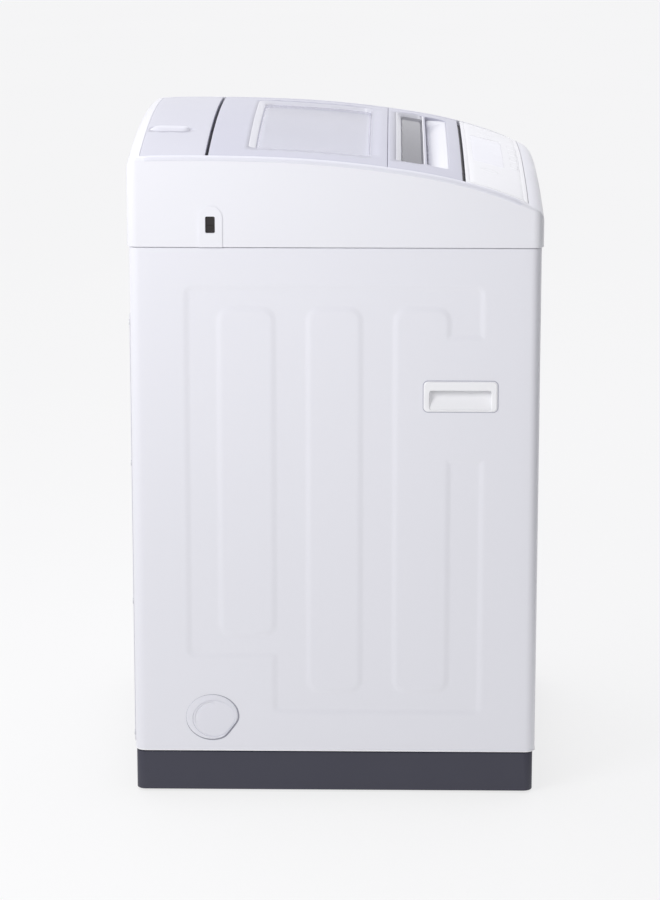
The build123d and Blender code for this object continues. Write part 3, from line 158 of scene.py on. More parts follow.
def surface(name, colour, rough=0.4, metal=0.0, spec=0.5, coat=0.0, coat_rough=0.1, grain=(1400, 0.06, 0.00006),
            mottle=(6.0, 0.02), rough_var=0.06, wave=None, trans=0.0, ior=1.46, alpha=1.0, brushed=None, dust=0.0,
            sss=0.0):
    """A node material: colour with a slow mottle, roughness that wanders, and a fine moulded or painted grain as bump."""
    if name in MATS:
        return MATS[name]
    m = bpy.data.materials.new(name)
    m.use_nodes = True
    nt = m.node_tree
    bsdf = nt.nodes["Principled BSDF"]
    coord = nt.nodes.new("ShaderNodeTexCoord")
    src = coord.outputs["Object"]

    noise = nt.nodes.new("ShaderNodeTexNoise")
    noise.inputs["Scale"].default_value = mottle[0]
    noise.inputs["Detail"].default_value = 4.0
    nt.links.new(src, noise.inputs["Vector"])
    ramp = nt.nodes.new("ShaderNodeMapRange")
    ramp.inputs["From Min"].default_value = 0.3
    ramp.inputs["From Max"].default_value = 0.7
    ramp.inputs["To Min"].default_value = 0.0
    ramp.inputs["To Max"].default_value = 1.0
    nt.links.new(noise.outputs["Fac"], ramp.inputs["Value"])
    mix = nt.nodes.new("ShaderNodeMix")
    mix.data_type = "RGBA"
    k = mottle[1]
    mix.inputs["A"].default_value = (*[max(0, c * (1 - k)) for c in colour], 1)
    mix.inputs["B"].default_value = (*[min(1, c * (1 + k)) for c in colour], 1)
    nt.links.new(ramp.outputs["Result"], mix.inputs["Factor"])
    colour_out = mix.outputs["Result"]
    if dust:
        # a breath of dust and scuffing on the lowest parts
        sep = nt.nodes.new("ShaderNodeSeparateXYZ")
        nt.links.new(src, sep.inputs["Vector"])
        low = nt.nodes.new("ShaderNodeMapRange")
        low.inputs["From Min"].default_value = 0.002
        low.inputs["From Max"].default_value = 0.05
        low.inputs["To Min"].default_value = 1.0
        low.inputs["To Max"].default_value = 0.0
        nt.links.new(sep.outputs["Z"], low.inputs["Value"])
        speck = nt.nodes.new("ShaderNodeTexNoise")
        speck.inputs["Scale"].default_value = 260.0
        speck.inputs["Detail"].default_value = 6.0
        nt.links.new(src, speck.inputs["Vector"])
        mul = nt.nodes.new("ShaderNodeMath")
        mul.operation = "MULTIPLY"
        nt.links.new(low.outputs["Result"], mul.inputs[0])
        nt.links.new(speck.outputs["Fac"], mul.inputs[1])
        mul2 = nt.nodes.new("ShaderNodeMath")
        mul2.operation = "MULTIPLY"
        mul2.inputs[1].default_value = dust
        nt.links.new(mul.outputs[0], mul2.inputs[0])
        dmix = nt.nodes.new("ShaderNodeMix")
        dmix.data_type = "RGBA"
        dmix.inputs["B"].default_value = (0.42, 0.40, 0.38, 1)
        nt.links.new(mul2.outputs[0], dmix.inputs["Factor"])
        nt.links.new(colour_out, dmix.inputs["A"])
        colour_out = dmix.outputs["Result"]
    nt.links.new(colour_out, bsdf.inputs["Base Color"])

    rnoise = nt.nodes.new("ShaderNodeTexNoise")
    rnoise.inputs["Scale"].default_value = mottle[0] * 4
    rnoise.inputs["Detail"].default_value = 5.0
    nt.links.new(src, rnoise.inputs["Vector"])
    rr = nt.nodes.new("ShaderNodeMapRange")
    rr.inputs["From Min"].default_value = 0.3
    rr.inputs["From Max"].default_value = 0.7
    rr.inputs["To Min"].default_value = max(0.02, rough - rough_var)
    rr.inputs["To Max"].default_value = min(1.0, rough + rough_var)
    nt.links.new(rnoise.outputs["Fac"], rr.inputs["Value"])
    nt.links.new(rr.outputs["Result"], bsdf.inputs["Roughness"])

    bsdf.inputs["Metallic"].default_value = metal
    bsdf.inputs["Specular IOR Level"].default_value = spec
    bsdf.inputs["IOR"].default_value = ior
    bsdf.inputs["Coat Weight"].default_value = coat
    bsdf.inputs["Coat Roughness"].default_value = coat_rough
    bsdf.inputs["Transmission Weight"].default_value = trans
    bsdf.inputs["Alpha"].default_value = alpha
    if sss:
        bsdf.inputs["Subsurface Weight"].default_value = sss
        bsdf.inputs["Subsurface Radius"].default_value = (0.004, 0.004, 0.005)

    if grain:
        g = nt.nodes.new("ShaderNodeTexNoise")
        g.inputs["Scale"].default_value = grain[0]
        g.inputs["Detail"].default_value = 3.0
        if brushed:
            mp = nt.nodes.new("ShaderNodeMapping")
            mp.inputs["Scale"].default_value = brushed
            nt.links.new(src, mp.inputs["Vector"])
            nt.links.new(mp.outputs["Vector"], g.inputs["Vector"])
        else:
            nt.links.new(src, g.inputs["Vector"])
        b = nt.nodes.new("ShaderNodeBump")
        b.inputs["Strength"].default_value = grain[1]
        b.inputs["Distance"].default_value = grain[2]
        nt.links.new(g.outputs["Fac"], b.inputs["Height"])
        last = b.outputs["Normal"]
        if wave:
            w = nt.nodes.new("ShaderNodeTexNoise")
            w.inputs["Scale"].default_value = wave[0]
            w.inputs["Detail"].default_value = 1.0
            nt.links.new(src, w.inputs["Vector"])
            b2 = nt.nodes.new("ShaderNodeBump")
            b2.inputs["Strength"].default_value = wave[1]
            b2.inputs["Distance"].default_value = wave[2]
            nt.links.new(w.outputs["Fac"], b2.inputs["Height"])
            nt.links.new(last, b2.inputs["Normal"])
            last = b2.outputs["Normal"]
        nt.links.new(last, bsdf.inputs["Normal"])
        if coat:
            nt.links.new(last, bsdf.inputs["Coat Normal"])
    MATS[name] = m
    return m


surface("cabinet_paint", rgb8(241, 241, 247), rough=0.38, coat=0.25, coat_rough=0.18, grain=(420, 0.05, 0.00004),
        wave=(9.0, 0.04, 0.0005), mottle=(3.0, 0.006))
surface("rear_paint", rgb8(214, 214, 220), rough=0.5, grain=(500, 0.15, 0.0001), mottle=(4.0, 0.01))
surface("cover_plastic", rgb8(244, 244, 249), rough=0.34, coat=0.15, grain=(500, 0.012, 0.00002), mottle=(4.0, 0.006))
surface("deck_plastic", rgb8(211, 211, 222), rough=0.32, coat=0.15, rough_var=0.015, grain=(500, 0.008, 0.00002), mottle=(4.0, 0.006))
surface("lid_plastic", rgb8(199, 199, 214), rough=0.3, coat=0.15, coat_rough=0.1, rough_var=0.015,
        grain=(500, 0.008, 0.00002), mottle=(4.0, 0.006))
# painted highlight: a whiter copy of the lid plastic for the sloped window surrounds and the scoop, which catch more
# light than the flat lid
surface("lid_painted_highlight", rgb8(246, 246, 252), rough=0.31, coat=0.3, coat_rough=0.08, rough_var=0.015,
        grain=(500, 0.008, 0.00002), mottle=(4.0, 0.005))
surface("fascia_plastic", rgb8(251, 251, 252), rough=0.25, coat=0.3, coat_rough=0.1, rough_var=0.015, grain=(500, 0.008, 0.00002),
        mottle=(4.0, 0.005))
surface("white_plastic", rgb8(240, 240, 245), rough=0.36, coat=0.2, grain=(900, 0.08, 0.00006), mottle=(6.0, 0.008))
# painted light: a tone set between lit and shaded plastic, lighter than the deck on its blister (painted highlight) and
# darker than the cover on the rim trims (painted shade)
surface("trim_painted_highlight_and_shade", rgb8(235, 235, 243), rough=0.34, rough_var=0.015, grain=(500, 0.008, 0.00002), mottle=(4.0, 0.005))
# painted shadow: near-black band standing in for the shade under the cabinet's overhang on the base
surface("painted_shadow_line", rgb8(40, 40, 54), rough=0.6, spec=0.3, grain=(900, 0.05, 0.00005), mottle=(9.0, 0.02))
# painted highlight: a lighter copy of the cabinet paint, so the hem's lower edge reads as a bright line
surface("hem_painted_highlight", rgb8(253, 253, 255), rough=0.34, coat=0.25, grain=(500, 0.02, 0.00002), mottle=(4.0, 0.002))
# painted shadow: grey ring under the drain cap's lower-front edge
surface("cap_painted_shadow", rgb8(158, 158, 170), rough=0.5, grain=(900, 0.05, 0.00005), mottle=(9.0, 0.01))
# painted shade: grey ring round the grip bezel, standing in for the shade of a groove between bezel and wall
surface("grip_outline_painted_shade", rgb8(190, 190, 202), rough=0.5, grain=(900, 0.05, 0.00005), mottle=(9.0, 0.01))
# painted highlight: a brighter copy of the handles' white plastic, so the grip reads as lit as the wall
surface("grip_painted_highlight", rgb8(253, 253, 255), rough=0.4, coat=0.2, coat_rough=0.12, grain=(900, 0.05, 0.00005), mottle=(6.0, 0.002))
surface("cap_plastic", rgb8(238, 238, 245), rough=0.36, grain=(900, 0.12, 0.00008), mottle=(9.0, 0.01))
surface("key_plastic", rgb8(251, 251, 252), rough=0.25, coat=0.3, coat_rough=0.1, rough_var=0.015, grain=(500, 0.008, 0.00002),
        mottle=(4.0, 0.005))
surface("display_tint", rgb8(244, 244, 251), rough=0.12, coat=0.5, coat_rough=0.03, grain=(900, 0.02, 0.00003),
        mottle=(8.0, 0.01))
surface("grey_base", rgb8(71, 71, 83), rough=0.5, spec=0.35, grain=(700, 0.12, 0.0001), mottle=(7.0, 0.03))
surface("rubber", (0.012, 0.012, 0.012), rough=0.75, spec=0.3, grain=(1800, 0.3, 0.0001), mottle=(30, 0.2), dust=0.3)
surface("black_plastic", rgb8(46, 42, 42), rough=0.5, grain=(1500, 0.25, 0.0001), mottle=(30, 0.08))
surface("zinc", (0.62, 0.63, 0.65), rough=0.32, metal=1.0, grain=(700, 0.25, 0.0001), mottle=(60, 0.12))
surface("steel_shaft", (0.66, 0.66, 0.68), rough=0.2, metal=1.0, grain=(900, 0.2, 0.00006), brushed=(1, 1, 30))
surface("stainless", (0.72, 0.72, 0.74), rough=0.2, metal=1.0, grain=(220, 0.12, 0.00005), mottle=(20, 0.04),
        brushed=(1, 1, 24))
surface("cast_alloy", (0.52, 0.52, 0.54), rough=0.48, metal=1.0, grain=(900, 0.5, 0.0002), mottle=(40, 0.12))
surface("motor_paint", (0.16, 0.165, 0.18), rough=0.45, metal=0.3, grain=(900, 0.4, 0.0002), mottle=(30, 0.1))
surface("tub_plastic", rgb8(205, 208, 212), rough=0.5, grain=(700, 0.25, 0.0001), mottle=(8, 0.03))
surface("ring_plastic", rgb8(224, 226, 232), rough=0.35, coat=0.2, grain=(900, 0.08, 0.00006), mottle=(8, 0.01))
surface("plate_plastic", rgb8(222, 226, 234), rough=0.34, coat=0.25, grain=(900, 0.08, 0.00006), mottle=(10, 0.015))
surface("filter_plastic", rgb8(186, 200, 218), rough=0.35, grain=(900, 0.1, 0.00008), mottle=(20, 0.03))
surface("inner_plastic", rgb8(206, 206, 206), rough=0.5, grain=(900, 0.2, 0.0001), mottle=(10, 0.03))
surface("valve_plastic", rgb8(190, 194, 198), rough=0.42, grain=(900, 0.2, 0.0001), mottle=(20, 0.03))
surface("belt_rubber", (0.01, 0.01, 0.01), rough=0.7, grain=(2500, 0.5, 0.0002), mottle=(60, 0.2))
surface("board", (0.02, 0.10, 0.04), rough=0.35, grain=(1600, 0.4, 0.0002), mottle=(120, 0.5))
surface("clear_window", rgb8(240, 240, 252), rough=0.05, spec=0.5, trans=0.0, alpha=0.62, ior=1.49, coat=0.0,
        grain=(900, 0.01, 0.00002), mottle=(5, 0.01), rough_var=0.02)
surface("smoke_window", rgb8(96, 95, 104), rough=0.06, trans=0.0, alpha=0.8, ior=1.49, grain=(900, 0.01, 0.00002),
        mottle=(5, 0.02), rough_var=0.02)

slot_of = {s["node"]: s["material_slot"] for s in frame["record"]["subparts"]}
for name, o in NODES.items():
    m = MATS[slot_of[name]]
    if not o.material_slots:
        o.data.materials.append(m)
    for s in o.material_slots:
        s.material = m

# ------------------------------------------------------------------ shape of the crowned top, in millimetres
MM = 0.001
HALF_W, HALF_D = 262.5, 270.0
CROWN_MID = [(278, 873.4), (240, 876.3), (200, 875.6), (166, 874.0), (100, 871.5), (40, 867.7), (-20, 862.7),
             (-67, 857.0), (-118, 849.0), (-166, 838.7), (-205, 829.0), (-240, 818.8), (-278, 805.5)]
CROWN_EDGE = [(278, 860.0), (240, 861.6), (200, 862.2), (166, 862.2), (100, 861.2), (40, 858.5), (-20, 853.5),
              (-67, 847.8), (-118, 840.0), (-166, 829.6), (-205, 818.0), (-240, 804.5), (-278, 786.0)]


def spline(points):
    """Natural cubic spline through (y, z) points."""
    p = np.array(sorted(points), float)
    x, a = p[:, 0], p[:, 1]
    n, h = len(x), np.diff(p[:, 0])
    m = np.eye(n)
    rhs = np.zeros(n)
    for i in range(1, n - 1):
        m[i, i - 1:i + 2] = h[i - 1], 2 * (h[i - 1] + h[i]), h[i]
        rhs[i] = 3 * ((a[i + 1] - a[i]) / h[i] - (a[i] - a[i - 1]) / h[i - 1])
    c = np.linalg.solve(m, rhs)
    b = np.diff(a) / h - h * (2 * c[:-1] + c[1:]) / 3
    d = np.diff(c) / (3 * h)

    def at(q):
        q = np.asarray(q, float)
        i = np.clip(np.searchsorted(x, q) - 1, 0, n - 2)
        t = q - x[i]
        return a[i] + t * (b[i] + t * (c[i] + t * d[i]))
    return at


MID_AT, EDGE_AT = spline(CROWN_MID), spline(CROWN_EDGE)


def crown(x, y):
    e, m = EDGE_AT(y), MID_AT(y)
    return e + (m - e) * (1 - (np.asarray(x, float) / HALF_W) ** 2)


def loop(cx, cy, hx, hy, r, nx=26, ny=12, na=5):
    """Rounded rectangle as a closed run of points; loops with the same counts match point for point."""
    r = max(r, 0.15)
    xs, ys = np.linspace(-(hx - r), hx - r, nx + 1), np.linspace(-(hy - r), hy - r, ny + 1)
    arc = np.linspace(0, math.pi / 2, na + 2)[1:-1]
    p = [(x, -hy) for x in xs] + [(hx - r + r * math.sin(a), -(hy - r) - r * math.cos(a)) for a in arc]
    p += [(hx, y) for y in ys] + [(hx - r + r * math.cos(a), hy - r + r * math.sin(a)) for a in arc]
    p += [(x, hy) for x in xs[::-1]] + [(-(hx - r) - r * math.sin(a), hy - r + r * math.cos(a)) for a in arc]
    p += [(-hx, y) for y in ys[::-1]] + [(-(hx - r) - r * math.cos(a), -(hy - r) - r * math.sin(a)) for a in arc]
    return np.array(p) + (cx, cy)


def inside(points, poly):
    """Which points lie inside a closed polygon."""
    x, y = points[:, 0][:, None], points[:, 1][:, None]
    x0, y0 = poly[:, 0][None], poly[:, 1][None]
    x1, y1 = np.roll(poly[:, 0], -1)[None], np.roll(poly[:, 1], -1)[None]
    cross = ((y0 > y) != (y1 > y)) & (x < (x1 - x0) * (y - y0) / (y1 - y0 + 1e-12) + x0)
    return cross.sum(1) % 2 == 1


class Sheet:
    """A surface over the crowned top, built from matched rings and filled regions."""

    def __init__(self, ground=crown):
        self.v, self.f, self.ground = [], [], ground

    def ring(self, pts, drop):
        d = drop(pts[:, 0], pts[:, 1]) if callable(drop) else drop
        z = self.ground(pts[:, 0], pts[:, 1]) - d
        start = len(self.v)
        self.v += [(x, y, q) for (x, y), q in zip(pts, z)]
        return list(range(start, start + len(pts)))

    def strip(self, a, b):
        n = len(a)
        self.f += [(a[i], a[(i + 1) % n], b[(i + 1) % n], b[i]) for i in range(n)]

    def band(self, a, b, profile):
        rings = []
        for t, d in profile:
            pts = a + (b - a) * t
            if isinstance(d, tuple):  # share of the way from the drop at a to the drop at b
                da = d[0](a[:, 0], a[:, 1]) if callable(d[0]) else d[0]
                db = d[1](b[:, 0], b[:, 1]) if callable(d[1]) else d[1]
                z = self.ground(pts[:, 0], pts[:, 1]) - (da + (db - da) * d[2])
                start = len(self.v)
                self.v += [(x, y, q) for (x, y), q in zip(pts, z)]
                rings.append(list(range(start, start + len(pts))))
            else:
                rings.append(self.ring(pts, d))
        for p, q in zip(rings, rings[1:]):
            self.strip(p, q)

    def fill(self, outer, inner=(), drop=0.0, step=12.0, extra=None, down=False):
        lines = [outer, *inner]
        lo, hi = outer.min(0), outer.max(0)
        gx = np.arange(lo[0] + step / 2, hi[0], step)
        gy = np.arange(lo[1] + step / 2, hi[1], step)
        g = np.array([(x + (step / 2 if j % 2 else 0), y) for j, y in enumerate(gy) for x in gx])
        if extra is not None:
            g = np.vstack([g, extra]) if len(g) else extra
        if len(g):
            keep = inside(g, outer)
            for p in inner:
                keep &= ~inside(g, p)
            g = g[keep]
            every = np.vstack(lines)
            if len(g):
                near = np.array([np.min(np.hypot(*(every - q).T)) for q in g])
                g = g[near > 0.42 * step]
        pts = [Vector(p) for l in lines for p in l] + [Vector(q) for q in g]
        edges, at = [], 0
        for l in lines:
            n = len(l)
            edges += [(at + i, at + (i + 1) % n) for i in range(n)]
            at += n
        vs, _, fs, *_ = delaunay_2d_cdt(pts, edges, [], 0, 1e-6)
        vs = np.array([tuple(v) for v in vs])
        fs = [f for f in fs if len(f) == 3]
        c = np.array([vs[list(f)].mean(0) for f in fs])
        keep = inside(c, outer)
        for p in inner:
            keep &= ~inside(c, p)
        ids = self.ring(vs, drop)
        for f, k in zip(fs, keep):
            if k:
                t = [ids[i] for i in f]
                self.f.append(t[::-1] if down else t)

    def mesh(self, name, wall=0.0, sharp=34.0, closed=False):
        bm = bmesh.new()
        vs = [bm.verts.new((x * MM, y * MM, z * MM)) for x, y, z in self.v]
        for f in self.f:
            if len(set(f)) == len(f):
                try:
                    bm.faces.new([vs[i] for i in f])
                except ValueError:
                    pass
        bmesh.ops.remove_doubles(bm, verts=bm.verts, dist=2e-6)
        bmesh.ops.dissolve_degenerate(bm, edges=bm.edges, dist=1e-7)
        loose = [v for v in bm.verts if not v.link_faces]
        bmesh.ops.delete(bm, geom=loose, context="VERTS")
        bmesh.ops.recalc_face_normals(bm, faces=bm.faces)
        if not closed and sum(f.normal.z * f.calc_area() for f in bm.faces) < 0:
            bmesh.ops.reverse_faces(bm, faces=bm.faces)
        o = finish_mesh(bm, name, sharp)
        if wall:
            w = o.modifiers.new("skin", "SOLIDIFY")
            w.thickness, w.offset = wall * MM, -1
        return o


def finish_mesh(bm, name, sharp=34.0):
    me = bpy.data.meshes.new(name)
    bm.to_mesh(me)
    bm.free()
    me.polygons.foreach_set("use_smooth", [True] * len(me.polygons))
    me.set_sharp_from_angle(angle=math.radians(sharp))
    o = bpy.data.objects.new(name, me)
    scene.collection.objects.link(o)
    return o


def put(o, body, slot, *nodes, material=None):
    """Gives a piece its finish, its body and the CAD nodes it stands for."""
    o.data.materials.clear()
    o.data.materials.append(MATS[material or slot])
    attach(o, body)
    if nodes:
        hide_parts(*nodes)
    return o


def soften(o, width=0.5, segments=2, angle=38):
    """Small rounding on the hard edges of a mesh."""
    w = o.modifiers.new("weld", "WELD")
    w.merge_threshold = 1e-6
    b = o.modifiers.new("round", "BEVEL")
    b.width = width * MM
    b.segments = segments
    b.limit_method = "ANGLE"
    b.angle_limit = math.radians(angle)
    b.use_clamp_overlap = True
    b.harden_normals = False
    return o


def arc_in(r, n=5):
    """(inset, drop) pairs of a quarter round of radius r, from the flat to the wall."""
    return [(r * (1 - math.sin(a)), r * (1 - math.cos(a))) for a in np.linspace(0, math.pi / 2, n)]


def rounded_edge(s, outline, r, rim, n=5, counts=None):
    """Rounds a skin's edge and drops its rim. outline is (cx, cy, hx, hy, corner). Returns the loop where the flat starts."""
    cx, cy, hx, hy, c = outline
    k = counts or {}
    flat = loop(cx, cy, hx - r, hy - r, c - r, **k)
    edge = loop(cx, cy, hx, hy, c, **k)
    s.band(flat, edge, [(1 - i / r, d) for i, d in arc_in(r, n)] + [(1.0, r + (rim - r) * 0.5), (1.0, rim)])
    return flat


def smooth_profile(depth, n=7, top=0.0):
    """Soft S from top to depth over a band."""
    return [(t, top + (depth - top) * (t * t * (3 - 2 * t))) for t in np.linspace(0, 1, n)]


# ------------------------------------------------------------------ rear deck
K = dict(nx=40, ny=8, na=6)
s = Sheet()
flat = rounded_edge(s, (0, 210.52, 252.3, 42.32, 4), 1.0, 7.9, counts=K)
bl = loop(-107, 221.5, 13, 27, 12.9, nx=3, ny=10, na=8)
bt = loop(-107, 219.0, 5.0, 20, 4.9, nx=3, ny=10, na=8)
s.fill(flat, [bl], 0.0, 11)
put(s.mesh("rear_deck_skin", wall=1.7), "cabinet", "deck_plastic", "rear_deck")
s = Sheet()
s.band(bl, bt, [(t, -3.7 * math.sin(t * math.pi / 2) ** 1.2) for t in np.linspace(0, 1, 9)])
s.fill(bt, [], -3.7, 5)
# the blister is lighter than the deck around it: painted highlight
put(s.mesh("deck_blister", wall=1.7), "cabinet", "deck_plastic", material="trim_painted_highlight_and_shade")

# ------------------------------------------------------------------ rear leaf of the lid, with its sunk window
s = Sheet()
flat = rounded_edge(s, (0, 48.7, 251.9, 115.5, 2.2), 1.0, 7.2, counts=dict(nx=44, ny=22, na=4))
KW = dict(nx=40, ny=16, na=8)
wa = loop(0, 34.5, 207.0, 79.5, 15, **KW)
wm = loop(0, 31.0, 204.6, 75.0, 12.5, **KW)
wb = loop(0, 30.5, 203.4, 73.9, 11.4, **KW)
wc = loop(0, 30.5, 197.5, 68.0, 7, **KW)
s.fill(flat, [wa], 0.0, 12)
put(s.mesh("lid_rear_skin", wall=1.7), "lid_rear", "lid_plastic", "lid_rear_panel")

s = Sheet()
s.band(wa, wm, [(0, 0.0), (0.06, 0.05), (0.14, 0.35), (0.5, 2.2), (0.86, 4.0), (1.0, 4.7)])
s.band(wm, wb, [(0, 4.7), (0.35, 5.6), (0.7, 7.2), (1.0, 8.0)])
s.band(wb, wc, [(0, 8.0), (1, 8.0)])
# the surround wears the lid's whiter copy: painted highlight
put(s.mesh("window_surround", wall=1.7), "lid_rear", "lid_plastic", material="lid_painted_highlight")

s = Sheet()
ga, gb = loop(0, 30.5, 202.2, 72.7, 10.2, **KW), loop(0, 30.5, 203.0, 73.5, 11, **KW)
s.fill(ga, [], 5.5, 12)
s.band(ga, gb, [(0, 5.5), (0.5, 5.65), (0.87, 6.0), (1, 6.4), (1, 7.9)])
s.fill(gb, [], 7.9, 14, down=True)
put(s.mesh("lid_glass", closed=True), "lid_rear", "clear_window", "lid_window")

# ------------------------------------------------------------------ front leaf of the lid, with its tinted window and hand scoop
s = Sheet()
flat = rounded_edge(s, (0, -115.7, 251.9, 48.5, 2.2), 1.0, 7.2, counts=dict(nx=44, ny=12, na=4))
KF = dict(nx=44, ny=8, na=6)
fa = loop(0, -96.4, 207.0, 17.9, 7, **KF)
fm = loop(0, -99.6, 205.2, 14.7, 5.4, **KF)
fb = loop(0, -100.1, 204.6, 14.2, 5.0, **KF)
fc = loop(0, -100.1, 198.0, 10.0, 4, **KF)
KS = dict(nx=110, ny=8, na=8)
sa = loop(0, -133.5, 205.5, 15.7, 10, **KS)
sb = loop(0, -133.3, 203.6, 13.9, 8.6, **KS)


def scoop_drop(x, y):
    u = np.clip((-119.4 - y) / 27.8, 0, 1)
    ends = np.clip((203.6 - np.abs(x)) / 26, 0, 1)
    ends = ends * ends * (3 - 2 * ends)
    return 1.6 + (3.4 + 9.6 * ends) * (1 - u) ** 1.35


s.fill(flat, [fa, sa], 0.0, 11)
t = Sheet()
t.band(fa, fm, [(0, 0.0), (0.08, 0.08), (0.2, 0.6), (0.5, 2.4), (0.85, 4.3), (1.0, 5.0)])
t.band(fm, fb, [(0, 5.0), (0.5, 6.6), (1.0, 8.0)])
t.band(fb, fc, [(0, 8.0), (1, 8.0)])
# the surround wears the lid's whiter copy: painted highlight
put(t.mesh("front_window_surround", wall=1.7), "lid_front", "lid_plastic", material="lid_painted_highlight")
s.band(sa, sb, [(t, (0.0, scoop_drop, q)) for t, q in ((0, 0), (0.12, 0.02), (0.3, 0.12), (0.6, 0.45), (0.85, 0.85), (1, 1))])
put(s.mesh("lid_front_skin", wall=1.7), "lid_front", "lid_plastic", "lid_front_panel")

s = Sheet()
s.fill(sb, [], scoop_drop, 3.2)
# the scoop wears the lid's whiter copy: painted highlight
put(s.mesh("scoop_dish", wall=1.7), "lid_front", "lid_plastic", material="lid_painted_highlight")

s = Sheet()
ga, gb = loop(0, -100.15, 203.5, 13.1, 4.2, **KF), loop(0, -100.15, 204.2, 13.8, 4.9, **KF)
s.fill(ga, [], 5.2, 9)
s.band(ga, gb, [(0, 5.2), (0.5, 5.3), (0.87, 5.6), (1, 5.9), (1, 7.9)])
s.fill(gb, [], 7.9, 12, down=True)
put(s.mesh("lid_front_glass", closed=True), "lid_front", "smoke_window", "lid_front_window")

# painted shade: a black strip on the ledge under the lid's front gap, so the gap reads dark
s = Sheet()
ka, kb = loop(0, -166.2, 250.4, 1.3, 1.2, nx=40, ny=2, na=3), loop(0, -166.2, 250.9, 1.75, 1.6, nx=40, ny=2, na=3)
s.fill(ka, [], 6.6, 12)
s.band(ka, kb, [(0, 6.6), (0.6, 6.75), (1, 7.1), (1, 7.7)])
s.fill(kb, [], 7.7, 12, down=True)
put(s.mesh("gap_painted_shade_strip", closed=True), "cabinet", slot_of["top_frame"], material="black_plastic")

# ------------------------------------------------------------------ control panel skin, display and keys
KC = dict(nx=44, ny=8, na=4)
s = Sheet()
flat = rounded_edge(s, (0, -208.66, 252.3, 40.46, 3), 1.1, 7.9, counts=KC)
g0, g1 = loop(0, -208.35, 246.9, 35.55, 3.2, **KC), loop(0, -208.35, 246.3, 34.95, 2.8, **KC)
g2, g3 = loop(0, -208.35, 245.9, 34.55, 2.6, **KC), loop(0, -208.35, 245.3, 33.95, 2.3, **KC)
s.fill(flat, [g0], 0.0, 9)
s.band(g0, g1, [(0, 0), (0.4, 0.1), (0.8, 0.45), (1, 0.6)])
s.band(g1, g2, [(0, 0.6), (1, 0.6)])
s.band(g2, g3, [(0, 0.6), (0.2, 0.45), (0.6, 0.1), (1, 0)])
lens_hole = loop(0, -201, 104.95, 20.95, 4.95, nx=24, ny=6, na=5)
KEYS = {"key_power": (-150.0, -201.0, 11.0, 11.0), "key_start": (150.0, -201.0, 11.0, 11.0),
        "key_program": (-75.0, -236.0, 15.0, 5.0), "key_water_level": (-25.0, -236.0, 15.0, 5.0),
        "key_process": (25.0, -236.0, 15.0, 5.0), "key_delay": (75.0, -236.0, 15.0, 5.0)}


def key_loop(x, y, hx, hy, grow):
    return loop(x, y, hx + grow, hy + grow, min(hx, hy) + grow - 0.02, nx=4, ny=2, na=7)


holes = [lens_hole] + [key_loop(*k, 0.12) for k in KEYS.values()]
s.fill(g3, holes, 0.0, 8)
for h in holes:
    c = h.mean(0)
    s.band(h, c + (h - c) * 0.999, [(0, 0.0), (0, 0.35), (1, 0.5)])
put(s.mesh("control_fascia_skin", wall=1.7), "cabinet", "fascia_plastic", "control_fascia")

s = Sheet()
la, lb = loop(0, -201, 104.75, 20.75, 4.75, nx=24, ny=6, na=5), loop(0, -201, 104.92, 20.92, 4.92, nx=24, ny=6, na=5)
s.fill(la, [], 0.02, 8)
s.band(la, lb, [(0, 0.02), (0.6, 0.04), (1, 0.14), (1, 1.2)])
s.fill(lb, [], 1.2, 12, down=True)
put(s.mesh("display_lens_skin", closed=True), "cabinet", "display_tint", "display_lens")

for name, k in KEYS.items():
    s = Sheet()
    rim, top = key_loop(*k, -0.02), key_loop(*k, -2.2)
    s.band(rim, rim, [(0, 4.8), (0, 0.25)])
    s.band(rim, top, [(0, 0.25), (0.12, 0.05), (0.4, -0.08), (1, -0.12)])
    s.fill(top, [], lambda x, y, k=k: -0.12 + 0.12 * np.clip(1 - np.hypot((x - k[0]) / (k[2] - 2.2), (y - k[1]) / (k[3] - 2.2)), 0, 1), 2.4)
    s.fill(rim, [], 4.8, 4, down=True)
    put(s.mesh(name + "_cap", closed=True), name, "key_plastic", name)


# ------------------------------------------------------------------ small formed pieces
def prism(name, outline, lo, hi, axis="x"):
    """Closed outline swept straight from lo to hi. Along x the outline is (y, z), along y it is (x, z), along z it is (x, y)."""
    bm = bmesh.new()
    rings = []
    for q in (lo, hi):
        row = []
        for a, b in outline:
            p = {"x": (q, a, b), "y": (a, q, b), "z": (a, b, q)}[axis]
            row.append(bm.verts.new([c * MM for c in p]))
        rings.append(row)
    n = len(outline)
    for i in range(n):
        bm.faces.new((rings[0][i], rings[0][(i + 1) % n], rings[1][(i + 1) % n], rings[1][i]))
    bm.faces.new(rings[0])
    bm.faces.new(rings[1])
    bmesh.ops.recalc_face_normals(bm, faces=bm.faces)
    return finish_mesh(bm, name, 30)


def join(name, parts):
    """Several objects' meshes as one piece."""
    bm = bmesh.new()
    for o in parts:
        bm.from_mesh(o.data)
        old = o.data
        bpy.data.objects.remove(o)
        bpy.data.meshes.remove(old)
    return finish_mesh(bm, name, 34)


def disc(cy, cz, r, n=28):
    return [(cy + r * math.cos(a), cz + r * math.sin(a)) for a in np.linspace(0, 2 * math.pi, n + 1)[:-1]]


